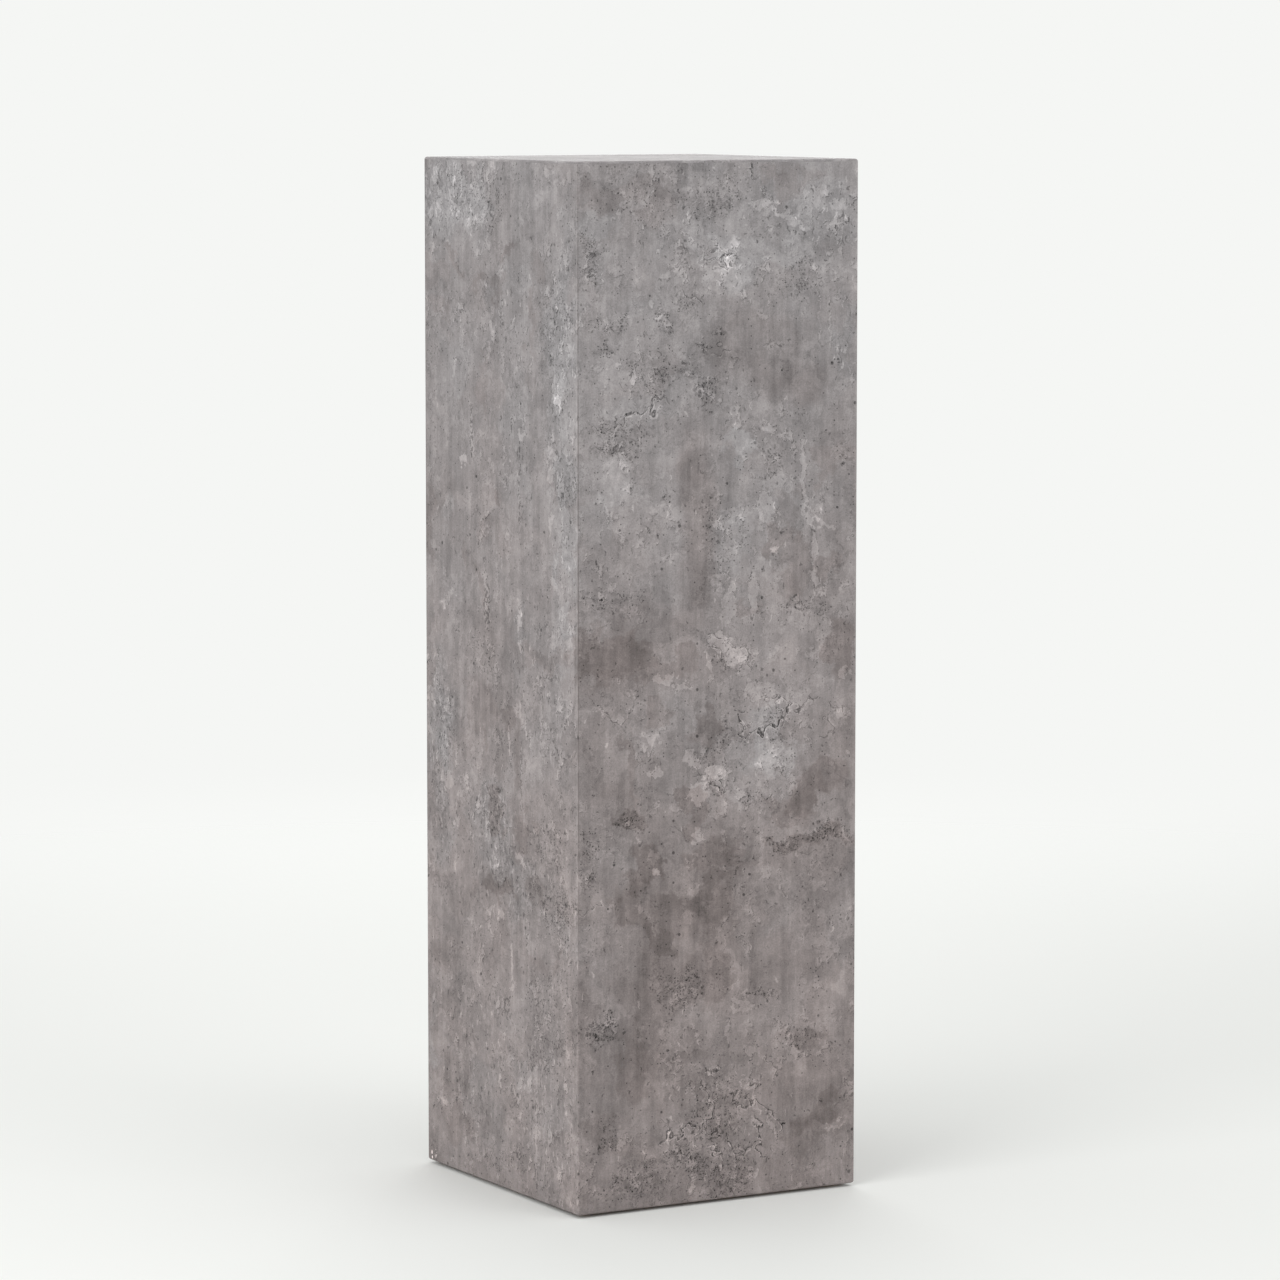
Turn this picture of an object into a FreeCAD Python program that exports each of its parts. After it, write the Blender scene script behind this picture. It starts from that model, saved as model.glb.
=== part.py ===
import FreeCAD, Part
import math
import os
import Sketcher
from FreeCAD import Placement, Rotation, Vector

# A square pedestal column: four mitred wall boards and a mitred top board, joined with loose
# tongues, held flat by two housed plates, closed by a screwed base board and covered by a printed
# decor sheet that is folded round the walls and turned under their feet.
#
# Frame: the origin is on the floor under the middle of the column, +Z is up and the front wall is
# on the -Y side. A piece that all four sides have is drawn for the front and turned by quarters.

SIZES = (
    ("overall_height", 1000.0, "floor to top face"),
    ("plan_width", 308.0, "side of the square column over its decor"),
    ("decor_sheet", 0.6, "thickness of the decor sheet"),
    ("edge_round", 2.5, "outer radius of the eased top and bottom edges"),
    ("fold_round", 1.0, "outer radius of the upright folds"),
    ("turn_under", 8.0, "how far the decor is turned under the walls"),
    ("joint_gap", 0.2, "gap where the two ends of the wrap meet"),
    ("board", 15.0, "thickness of the wall, top and base boards"),
    ("tongue_thick", 4.0, "thickness of a loose tongue"),
    ("tongue_reach", 8.0, "how deep a tongue goes into each board"),
    ("tongue_inset", 7.0, "inside corner to the middle of a tongue, along the mitre"),
    ("groove_spare", 0.4, "glue room behind a tongue"),
    ("upright_tongue", 955.0, "length of a tongue in an upright mitre"),
    ("top_tongue", 230.0, "length of a tongue in a mitre under the top"),
    ("stiffener_thick", 12.0, "thickness of a stiffener plate"),
    ("housing_depth", 4.0, "how deep a stiffener is let into the walls"),
    ("stiffener_nip", 5.0, "leg of the corner cut off a stiffener"),
    ("lower_stiffener_rise", 330.0, "floor to the lower stiffener"),
    ("upper_stiffener_rise", 660.0, "floor to the upper stiffener"),
    ("cleat_side", 20.0, "side of a square cleat"),
    ("base_gap", 0.4, "gap round the base board"),
    ("base_arris", 0.8, "chamfer round the underside of the base board"),
    ("screw_length", 30.0, "length of a countersunk screw"),
    ("screw_radius", 1.75, "radius of its shank"),
    ("screw_head_radius", 3.5, "radius of its head"),
    ("screw_head_rim", 0.4, "height of the head's rim"),
    ("screw_tip", 4.0, "length of its point"),
    ("base_screw_spread", 75.0, "middle of a side to a base screw"),
    ("cleat_screw_spread", 100.0, "middle of a side to a cleat screw"),
    ("glide_height", 3.6, "height of a glide, floor to carcass"),
    ("glide_radius", 11.0, "radius of a glide"),
    ("glide_round", 1.2, "rounding of a glide's lower rim"),
    ("glide_inset", 18.0, "inside face of a wall to the middle of a glide"),
    ("well_radius", 3.2, "radius of the well for the nail's head"),
    ("nail_sink", 0.6, "floor to the nail's head"),
    ("nail_head_radius", 2.8, "radius of the nail's head"),
    ("nail_head_thick", 0.8, "thickness of the nail's head"),
    ("nail_radius", 0.9, "radius of the nail"),
    ("nail_length", 15.0, "length of the nail under its head"),
    ("nail_tip", 2.0, "length of the nail's point"),
)

# Faces that many pieces share, as formulas in the sheet's names.
CORE = "(Sizes.plan_width / 2 - Sizes.decor_sheet)"
INSIDE = f"({CORE} - Sizes.board)"
CORE_TOP = "(Sizes.overall_height - Sizes.decor_sheet)"
CORE_FOOT = "Sizes.glide_height"
CEILING = f"({CORE_TOP} - Sizes.board)"
WALL_HEIGHT = f"({CORE_TOP} - {CORE_FOOT})"
DECOR_FOOT = f"({CORE_FOOT} - Sizes.decor_sheet)"
TOP_SEAM = "(Sizes.overall_height - Sizes.edge_round)"
CLEAT_FOOT = f"({CORE_FOOT} + Sizes.board)"
CLEAT_LINE = f"({INSIDE} - Sizes.cleat_side / 2)"
TONGUE_NEAR = "(Sizes.tongue_inset - Sizes.tongue_thick / 2)"
TONGUE_FAR = "(Sizes.tongue_inset + Sizes.tongue_thick / 2)"
GROOVE_DEEP = "(Sizes.tongue_reach + Sizes.groove_spare)"
NAIL_SEAT = "(Sizes.nail_sink + Sizes.nail_head_thick)"
CLEAR = "2"          # how far a cutter reaches past the wood it cuts

SIDES = ("front", "right", "back", "left")
CORNERS = ("front_right", "back_right", "back_left", "front_left")
UP = Vector(0, 0, 1)
ALONG = Vector(1, 0, 0)
LEAST_CUT = 0.01
HAIR = 0.001

doc = FreeCAD.newDocument("pedestal_column")
parts = []


# ---------------------------------------------------------------- helpers

def fill_sheet():
    """The driving dimensions, in millimetres, each beside its meaning."""
    sheet = doc.addObject("Spreadsheet::Sheet", "Sizes")
    for row, (alias, value, meaning) in enumerate(SIZES, start=1):
        sheet.set(f"A{row}", meaning)
        sheet.set(f"B{row}", str(value))
        sheet.setAlias(f"B{row}", alias)
    doc.recompute()


def keep(item, name):
    """Take a finished piece into the list; its label is also its file's name."""
    item.Label = name
    parts.append(item)


def place(item, x, y, z, rotation=Rotation()):
    """Put an object at a point given by three formulas, turned by a rotation."""
    item.Placement = Placement(Vector(), rotation)
    for axis, formula in (("x", x), ("y", y), ("z", z)):
        item.setExpression(f"Placement.Base.{axis}", formula)
    return item


def turned(across, along, quarter):
    """The formulas of a plan position after whole quarter turns about the column's axis."""
    if quarter == 0:
        return across, along
    return turned(f"-({along})", across, quarter - 1)


def quarter_turn(quarter):
    return Rotation(UP, 90 * quarter)


def plane_of(body, role):
    return [item for item in body.Origin.OriginFeatures if item.Role == role][0]


def new_sketch(body, name, role, rise=None):
    """A sketch on one of the body's own origin planes, moved along its normal by a formula."""
    sketch = body.newObject("Sketcher::SketchObject", f"{body.Name}_{name}")
    sketch.AttachmentSupport = [(plane_of(body, role), "")]
    sketch.MapMode = "FlatFace"
    if rise is not None:
        sketch.setExpression("AttachmentOffset.Base.z", rise)
    return sketch


def draw(sketch, corners):
    """Add a closed outline of straight sides; each corner is a pair of formulas."""
    first = sketch.GeometryCount
    count = len(corners)
    turns = [2 * math.pi * index / count for index in range(count)]
    rough = [Vector(math.cos(turn), math.sin(turn), 0) for turn in turns]
    for index in range(count):
        sketch.addGeometry(Part.LineSegment(rough[index], rough[(index + 1) % count]), False)
    for index, corner in enumerate(corners):
        line = first + index
        after = first + (index + 1) % count
        sketch.addConstraint(Sketcher.Constraint("Coincident", line, 2, after, 1))
        for axis, formula, start in zip("XY", corner, rough[index]):
            label = f"corner_{line}_{axis}"
            rule = Sketcher.Constraint(f"Distance{axis}", -1, 1, line, 1, start)
            sketch.renameConstraint(sketch.addConstraint(rule), label)
            sketch.setExpression(f"Constraints.{label}", formula)
    return sketch


def box_corners(left, low, right, high):
    return ((left, low), (right, low), (right, high), (left, high))


def mirrored(corners):
    return tuple((f"-({across})", up) for across, up in corners)


def add_pad(body, sketch, length):
    pad = body.newObject("PartDesign::Pad", f"{sketch.Name}_pad")
    pad.Profile = sketch
    pad.setExpression("Length", length)
    return pad


def add_turning(body, sketch):
    """Turn an outline about the body's upright axis."""
    turning = body.newObject("PartDesign::Revolution", f"{sketch.Name}_turning")
    turning.Profile = sketch
    turning.ReferenceAxis = (sketch, ["V_Axis"])
    turning.Angle = 360
    return turning


def add_pocket(body, sketch, length=None, symmetric=False, upwards=False):
    """Cut an outline to a length, or right through; a pocket that cuts nothing is an error."""
    doc.recompute()
    before = body.Shape.Volume
    pocket = body.newObject("PartDesign::Pocket", f"{sketch.Name}_pocket")
    pocket.Profile = sketch
    pocket.SideType = "Symmetric" if symmetric else "One side"
    pocket.Reversed = upwards
    pocket.Type = "ThroughAll" if length is None else "Length"
    if length is not None:
        pocket.setExpression("Length", length)
    doc.recompute()
    if body.Shape.Volume > before - LEAST_CUT:
        raise RuntimeError(f"{pocket.Name} cuts nothing")
    return pocket


def dress(body, kind, name, size, formula, wanted):
    """Round or chamfer the body's edges that a test on the edge accepts."""
    doc.recompute()
    base = body.Tip
    found = [f"Edge{n}" for n, edge in enumerate(base.Shape.Edges, start=1) if wanted(edge)]
    feature = body.newObject(kind, f"{body.Name}_{name}")
    feature.Base = (base, found)
    feature.setExpression(size, formula)
    return feature


def round_over(body, name, formula, wanted):
    return dress(body, "PartDesign::Fillet", name, "Radius", formula, wanted)


def is_level(edge):
    return edge.BoundBox.ZLength < HAIR


def is_upright(edge):
    return edge.BoundBox.XLength < HAIR and edge.BoundBox.YLength < HAIR


def block(name, length, width, height):
    box = doc.addObject("Part::Box", name)
    for size, formula in (("Length", length), ("Width", width), ("Height", height)):
        box.setExpression(size, formula)
    return box


def square_block(name, half, foot, height):
    """A square block about the column's axis, standing at a height."""
    box = block(name, f"2 * {half}", f"2 * {half}", height)
    return place(box, f"-{half}", f"-{half}", foot)


def boolean(kind, name, base, tool):
    result = doc.addObject(kind, name)
    result.Base = base
    result.Tool = tool
    return result


def bored(name, blank, *cutters):
    """A blank with each cutter taken away in turn; the last result has the piece's name."""
    for count, cutter in enumerate(cutters, start=1):
        stage = name if count == len(cutters) else f"{name}_bored_{count}"
        blank = boolean("Part::Cut", stage, blank, cutter)
    return blank


# ---------------------------------------------------------------- joints between boards

def upright_mitre(along, across):
    """Plan formulas of a point at the front right corner: along the mitre from the inside corner,
    and across it into the front wall."""
    return (f"({INSIDE} + sqrt(0.5) * ({along} - ({across})))",
            f"(-{INSIDE} - sqrt(0.5) * ({along} + ({across})))")


def top_mitre(along, across):
    """Depth and height of a point at the mitre under the top: along the mitre from the inside
    corner, and across it into the front wall, or into the top board where across is negative."""
    return (f"(-{INSIDE} - sqrt(0.5) * ({along} + ({across})))",
            f"({CEILING} + sqrt(0.5) * ({along} - ({across})))")


def groove_corners(point_at, into="1"):
    """A tongue's groove in section, with its mouth open past the mitre."""
    mouth = f"-({into}) * {CLEAR}"
    bottom = f"({into}) * {GROOVE_DEEP}"
    return (point_at(TONGUE_NEAR, mouth), point_at(TONGUE_FAR, mouth),
            point_at(TONGUE_FAR, bottom), point_at(TONGUE_NEAR, bottom))


def upright_tongue(quarter):
    tongue = block(f"corner_tongue_{CORNERS[quarter]}", "2 * Sizes.tongue_reach",
                   "Sizes.tongue_thick", "Sizes.upright_tongue")
    x, y = upright_mitre(TONGUE_FAR, "Sizes.tongue_reach")
    turn = quarter_turn(quarter).multiply(Rotation(UP, 45))
    place(tongue, *turned(x, y, quarter), CORE_FOOT, turn)
    keep(tongue, tongue.Name)


def top_tongue(quarter):
    tongue = block(f"top_tongue_{SIDES[quarter]}", "Sizes.top_tongue",
                   "2 * Sizes.tongue_reach", "Sizes.tongue_thick")
    y, z = top_mitre(TONGUE_NEAR, "Sizes.tongue_reach")
    turn = quarter_turn(quarter).multiply(Rotation(ALONG, 45))
    place(tongue, *turned("-Sizes.top_tongue / 2", y, quarter), z, turn)
    keep(tongue, tongue.Name)


# ---------------------------------------------------------------- fasteners

def turned_body(name, outline):
    body = doc.addObject("PartDesign::Body", name)
    add_turning(body, draw(new_sketch(body, "outline", "XZ_Plane"), outline))
    return body


def screw():
    """A countersunk screw that points up, with the face of its head at the origin."""
    slope = "(Sizes.screw_head_rim + Sizes.screw_head_radius - Sizes.screw_radius)"
    return turned_body("screw", (
        ("0", "0"),
        ("Sizes.screw_head_radius", "0"),
        ("Sizes.screw_head_radius", "Sizes.screw_head_rim"),
        ("Sizes.screw_radius", slope),
        ("Sizes.screw_radius", "Sizes.screw_length - Sizes.screw_tip"),
        ("0", "Sizes.screw_length"),
    ))


def nail():
    """A flat-headed nail that points up, with the face of its head at the origin."""
    tip = "(Sizes.nail_head_thick + Sizes.nail_length)"
    return turned_body("nail", (
        ("0", "0"),
        ("Sizes.nail_head_radius", "0"),
        ("Sizes.nail_head_radius", "Sizes.nail_head_thick"),
        ("Sizes.nail_radius", "Sizes.nail_head_thick"),
        ("Sizes.nail_radius", f"{tip} - Sizes.nail_tip"),
        ("0", tip),
    ))


def group(name, fastener, seats):
    """Copies of one fastener, each at its seat of two plan formulas, a height and a rotation."""
    copies = []
    for count, (x, y, z, rotation) in enumerate(seats, start=1):
        copy = doc.addObject("App::Link", f"{name}_{count}")
        copy.LinkedObject = fastener
        copies.append(place(copy, x, y, z, rotation))
    bundle = doc.addObject("Part::Compound", name)
    bundle.Links = copies
    keep(bundle, name)
    return bundle


def pairs(spread, line, rise, rotation):
    """Two seats on every side of the column, either side of its middle."""
    seats = []
    for quarter in range(4):
        for sign in ("-", ""):
            x, y = turned(f"{sign}{spread}", f"-{line}", quarter)
            seats.append((x, y, rise, quarter_turn(quarter).multiply(rotation)))
    return seats


def glide_spot(quarter):
    return turned(f"({INSIDE} - Sizes.glide_inset)", f"-({INSIDE} - Sizes.glide_inset)", quarter)


def glide(quarter):
    """A round plastic glide with a well for its nail and a rounded lower rim."""
    body = turned_body(f"glide_{CORNERS[quarter]}", (
        ("Sizes.nail_radius", NAIL_SEAT),
        ("Sizes.well_radius", NAIL_SEAT),
        ("Sizes.well_radius", "0"),
        ("Sizes.glide_radius", "0"),
        ("Sizes.glide_radius", "Sizes.glide_height"),
        ("Sizes.nail_radius", "Sizes.glide_height"),
    ))
    doc.recompute()
    widest = body.Shape.BoundBox.XMax
    round_over(body, "rim", "Sizes.glide_round", lambda edge: is_level(edge)
               and edge.BoundBox.ZMax < HAIR and edge.BoundBox.XMax > widest - HAIR)
    place(body, *glide_spot(quarter), "0")
    keep(body, body.Name)


# ---------------------------------------------------------------- boards

def wall(quarter, screws):
    """A wall board: eased outside edges, mitres at both ends and at the top, grooves for the
    tongues, housings for the stiffeners and pilot holes for the cleat screws."""
    body = doc.addObject("PartDesign::Body", f"{SIDES[quarter]}_board")
    plan = new_sketch(body, "plan", "XY_Plane", CORE_FOOT)
    add_pad(body, draw(plan, box_corners(f"-{CORE}", f"-{CORE}", CORE, f"-{INSIDE}")), WALL_HEIGHT)
    doc.recompute()
    outside = body.Shape.BoundBox.YMin
    round_over(body, "eased_edges", "Sizes.edge_round - Sizes.decor_sheet",
               lambda edge: edge.BoundBox.YMax < outside + HAIR and is_level(edge))

    ends = new_sketch(body, "end_mitres", "XY_Plane")
    end = ((CORE, f"-{CORE}"), (f"{CORE} + {CLEAR}", f"-{CORE}"),
           (f"{CORE} + {CLEAR}", f"-{INSIDE}"), (INSIDE, f"-{INSIDE}"))
    draw(ends, end)
    draw(ends, mirrored(end))
    add_pocket(body, ends, symmetric=True)

    head = new_sketch(body, "top_mitre", "YZ_Plane")
    draw(head, ((f"-{CORE}", CORE_TOP), (f"-{INSIDE}", CEILING),
                (f"-{INSIDE}", f"{CORE_TOP} + {CLEAR}"), (f"-{CORE}", f"{CORE_TOP} + {CLEAR}")))
    add_pocket(body, head, symmetric=True)

    grooves = new_sketch(body, "upright_grooves", "XY_Plane", CORE_FOOT)
    groove = groove_corners(upright_mitre)
    draw(grooves, groove)
    draw(grooves, mirrored(groove))
    add_pocket(body, grooves, "Sizes.upright_tongue", upwards=True)

    top_groove = new_sketch(body, "top_groove", "YZ_Plane")
    draw(top_groove, groove_corners(top_mitre))
    add_pocket(body, top_groove, "Sizes.top_tongue", symmetric=True)

    housings = new_sketch(body, "housings", "YZ_Plane")
    for rise in ("Sizes.lower_stiffener_rise", "Sizes.upper_stiffener_rise"):
        draw(housings, box_corners(f"-{INSIDE} - Sizes.housing_depth", rise,
                                   f"-{INSIDE} + {CLEAR}", f"{rise} + Sizes.stiffener_thick"))
    add_pocket(body, housings, symmetric=True)

    body.Placement = Placement(Vector(), quarter_turn(quarter))
    name = f"{SIDES[quarter]}_panel"
    keep(bored(name, body, screws), name)


def top_board():
    """The top board: eased, mitred all round from below, with a stopped groove in each mitre."""
    body = doc.addObject("PartDesign::Body", "top_panel")
    plan = new_sketch(body, "plan", "XY_Plane", CEILING)
    add_pad(body, draw(plan, box_corners(f"-{CORE}", f"-{CORE}", CORE, CORE)), "Sizes.board")
    doc.recompute()
    face = body.Shape.BoundBox.ZMax
    round_over(body, "eased_edges", "Sizes.edge_round - Sizes.decor_sheet",
               lambda edge: edge.BoundBox.ZMin > face - HAIR)

    bevel = ((f"-{CORE}", CORE_TOP), (f"-{INSIDE}", CEILING),
             (f"-{INSIDE}", f"{CEILING} - {CLEAR}"), (f"-{CORE} - {CLEAR}", f"{CEILING} - {CLEAR}"),
             (f"-{CORE} - {CLEAR}", CORE_TOP))
    groove = groove_corners(top_mitre, "-1")
    for role in ("YZ_Plane", "XZ_Plane"):
        bevels = new_sketch(body, f"bevels_{role}", role)
        draw(bevels, bevel)
        draw(bevels, mirrored(bevel))
        add_pocket(body, bevels, symmetric=True)
    for role in ("YZ_Plane", "XZ_Plane"):
        grooves = new_sketch(body, f"grooves_{role}", role)
        draw(grooves, groove)
        draw(grooves, mirrored(groove))
        add_pocket(body, grooves, "Sizes.top_tongue", symmetric=True)
    keep(body, body.Name)


def stiffener(name, rise):
    """A square plate let into all four walls, its corners cut off clear of the tongues."""
    body = doc.addObject("PartDesign::Body", name)
    plan = new_sketch(body, "plan", "XY_Plane", rise)
    half = f"({INSIDE} + Sizes.housing_depth)"
    add_pad(body, draw(plan, box_corners(f"-{half}", f"-{half}", half, half)),
            "Sizes.stiffener_thick")
    dress(body, "PartDesign::Chamfer", "nipped_corners", "Size", "Sizes.stiffener_nip", is_upright)
    keep(body, name)


def cleat(quarter, half, *screws):
    """A square batten along the foot of a wall, bored for its own screws and the base's."""
    name = f"{SIDES[quarter]}_cleat"
    batten = block(f"{name}_batten", f"2 * {half}", "Sizes.cleat_side", "Sizes.cleat_side")
    place(batten, *turned(f"-{half}", f"-{INSIDE}", quarter), CLEAT_FOOT, quarter_turn(quarter))
    keep(bored(name, batten, *screws), name)


def base_board(*fasteners):
    """The bottom board, flush with the walls' feet and chamfered round its underside."""
    body = doc.addObject("PartDesign::Body", "base_board")
    plan = new_sketch(body, "plan", "XY_Plane", CORE_FOOT)
    half = f"({INSIDE} - Sizes.base_gap)"
    add_pad(body, draw(plan, box_corners(f"-{half}", f"-{half}", half, half)), "Sizes.board")
    doc.recompute()
    underside = body.Shape.BoundBox.ZMin
    dress(body, "PartDesign::Chamfer", "arris", "Size", "Sizes.base_arris",
          lambda edge: edge.BoundBox.ZMax < underside + HAIR)
    keep(bored("base_panel", body, *fasteners), "base_panel")


# ---------------------------------------------------------------- decor

def eased_block(name, half, foot, height, rounding, fold=None):
    """A square block with its top and bottom edges rounded, and its upright ones where asked."""
    body = doc.addObject("PartDesign::Body", name)
    plan = new_sketch(body, "plan", "XY_Plane", foot)
    add_pad(body, draw(plan, box_corners(f"-{half}", f"-{half}", half, half)), height)
    if fold is not None:
        round_over(body, "folds", fold, is_upright)
    round_over(body, "eased_edges", rounding, is_level)
    return body


def decor():
    """The decor sheet: a skin over the eased carcass, in two pieces that meet below the rounded
    top edge. The wrap's ends meet on the back wall, beside its left corner."""
    outer = eased_block("decor_outside", "(Sizes.plan_width / 2)", DECOR_FOOT,
                        f"(Sizes.overall_height - {DECOR_FOOT})", "Sizes.edge_round",
                        "Sizes.fold_round")
    core = eased_block("carcass_outside", CORE, CORE_FOOT, WALL_HEIGHT,
                       "Sizes.edge_round - Sizes.decor_sheet")
    skin = boolean("Part::Cut", "decor_skin", outer, core)
    above = square_block("above_seam", "Sizes.plan_width", TOP_SEAM, "Sizes.board")
    keep(boolean("Part::Common", "top_decor", skin, above), "top_decor")
    opening = square_block("underside_opening", "(Sizes.plan_width / 2 - Sizes.turn_under)",
                           f"({DECOR_FOOT} - {CLEAR})", "Sizes.board")
    gap = block("wrap_joint", "Sizes.joint_gap", "2 * Sizes.turn_under", "Sizes.overall_height")
    place(gap, "-Sizes.plan_width / 2 + 2 * Sizes.fold_round",
          "Sizes.plan_width / 2 - Sizes.turn_under", "0")
    keep(bored("decor_wrap", skin, above, opening, gap), "decor_wrap")


# ---------------------------------------------------------------- the column

def build():
    fill_sheet()
    one_screw = screw()
    outwards = Rotation(ALONG, 90)
    base_screws = group("base_screws", one_screw, pairs(
        "Sizes.base_screw_spread", CLEAT_LINE, CORE_FOOT, Rotation()))
    cleat_screws = group("cleat_screws", one_screw, pairs(
        "Sizes.cleat_screw_spread", f"({INSIDE} - Sizes.cleat_side)",
        f"({CLEAT_FOOT} + Sizes.cleat_side / 2)", outwards))
    glide_nails = group("glide_nails", nail(), [
        (*glide_spot(quarter), "Sizes.nail_sink", Rotation()) for quarter in range(4)])
    for quarter in range(4):
        wall(quarter, cleat_screws)
        upright_tongue(quarter)
        top_tongue(quarter)
        across = quarter % 2 == 1
        cleat(quarter, f"({INSIDE} - Sizes.cleat_side)" if across else INSIDE,
              base_screws, cleat_screws)
        glide(quarter)
    top_board()
    stiffener("lower_stiffener", "Sizes.lower_stiffener_rise")
    stiffener("upper_stiffener", "Sizes.upper_stiffener_rise")
    base_board(base_screws, glide_nails)
    decor()
    doc.recompute()


def check():
    """Every object computed, every piece a valid solid."""
    for item in doc.Objects:
        if "Invalid" in item.State or "Error" in item.State:
            raise RuntimeError(f"{item.Name} failed: {item.State}")
    for item in parts:
        if item.Shape.isNull() or not item.Shape.isValid():
            raise RuntimeError(f"{item.Label} has no valid shape")


def write():
    os.makedirs("parts", exist_ok=True)
    for item in parts:
        item.Shape.exportStep(f"parts/{item.Label}.step")
        box = item.Shape.BoundBox
        print(f"{item.Label:28s} solids {len(item.Shape.Solids):2d}  volume {item.Shape.Volume:12.1f}"
              f"  x {box.XMin:7.1f} {box.XMax:7.1f}  y {box.YMin:7.1f} {box.YMax:7.1f}"
              f"  z {box.ZMin:6.1f} {box.ZMax:6.1f}")


build()
check()
write()
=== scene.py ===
# %% [markdown]
# # A pedestal column in a concrete decor
#
# The object is a square display column, a metre high. Its carcass is built of raw boards and is
# already there, piece by piece, as the fixed frame that this script loads. What is left to do is
# the looks: the printed decor sheet that turns plain boards into "concrete", the raw boards under
# it, the screws, the glides, and a quiet studio round it all.
#
# We work from the outside in: camera, floor and light first, because colours can't be judged
# without them. Then comes the decor, which is nearly everything that shows, and then the pieces
# that are seen from below or when the column is taken apart.

import math

import bpy
from mathutils import Euler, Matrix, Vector


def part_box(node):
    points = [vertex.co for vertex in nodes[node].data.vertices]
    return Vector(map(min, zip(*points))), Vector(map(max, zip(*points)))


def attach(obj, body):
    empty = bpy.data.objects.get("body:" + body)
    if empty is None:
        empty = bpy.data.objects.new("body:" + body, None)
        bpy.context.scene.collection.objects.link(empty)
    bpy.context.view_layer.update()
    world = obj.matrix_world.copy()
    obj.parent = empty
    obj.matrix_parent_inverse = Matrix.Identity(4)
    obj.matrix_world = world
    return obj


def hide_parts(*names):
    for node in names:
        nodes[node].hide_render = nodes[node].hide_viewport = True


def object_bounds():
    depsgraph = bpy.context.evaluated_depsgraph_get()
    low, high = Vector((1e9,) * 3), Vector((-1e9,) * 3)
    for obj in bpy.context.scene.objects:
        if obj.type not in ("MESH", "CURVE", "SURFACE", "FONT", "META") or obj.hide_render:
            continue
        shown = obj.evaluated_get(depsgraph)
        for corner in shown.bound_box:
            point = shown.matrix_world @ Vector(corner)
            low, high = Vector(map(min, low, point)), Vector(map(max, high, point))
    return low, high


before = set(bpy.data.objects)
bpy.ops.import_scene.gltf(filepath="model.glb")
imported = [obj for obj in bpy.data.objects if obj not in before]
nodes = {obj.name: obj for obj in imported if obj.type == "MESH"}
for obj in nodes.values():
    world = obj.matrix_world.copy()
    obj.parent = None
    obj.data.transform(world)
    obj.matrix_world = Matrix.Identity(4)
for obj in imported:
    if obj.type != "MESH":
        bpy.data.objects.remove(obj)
cad_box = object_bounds()
scene = bpy.context.scene
MM = 0.001
print("CAD nodes:", len(nodes))
print("CAD box:", [tuple(round(value, 4) for value in corner) for corner in cad_box])

# %% [markdown]
# ## The camera
#
# The photograph is taken with a long lens from a little above, about thirty degrees round from the
# front wall. Long lenses keep the column's sides nearly upright. The numbers below come from
# fitting a pinhole camera to the seven corners of the outline, and the lens is worked out from the
# focal length in pixels, because Blender's lens belongs to a sensor width in millimetres.

# %% Camera
IMAGE_SIDE = 1280
FOCAL_PIXELS = 5352.0
SENSOR_WIDTH = 36.0
CAMERA_PLACE = Vector((-2.576, -4.517, 1.091))
CAMERA_PITCH = 6.154
CAMERA_YAW = 29.708


def make_camera():
    data = bpy.data.cameras.new("studio_camera")
    data.sensor_width = SENSOR_WIDTH
    data.lens = FOCAL_PIXELS / IMAGE_SIDE * SENSOR_WIDTH
    data.clip_end = 50.0
    camera = bpy.data.objects.new("studio_camera", data)
    camera.location = CAMERA_PLACE
    tilt = math.radians(90 - CAMERA_PITCH)
    camera.rotation_euler = Euler((tilt, 0.0, -math.radians(CAMERA_YAW)))
    scene.collection.objects.link(camera)
    scene.camera = camera
    return camera


camera = make_camera()
print("lens:", round(camera.data.lens, 2), "mm")

# %% [markdown]
# ## A short way to write node trees
#
# A material is a tree of small nodes. Written out one by one they fill pages, so this helper adds
# a node, sets it up, joins its inputs and hands back its result, which makes a tree read like the
# sum that it is. A group is a tree with named inputs and outputs that several materials can use.

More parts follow.
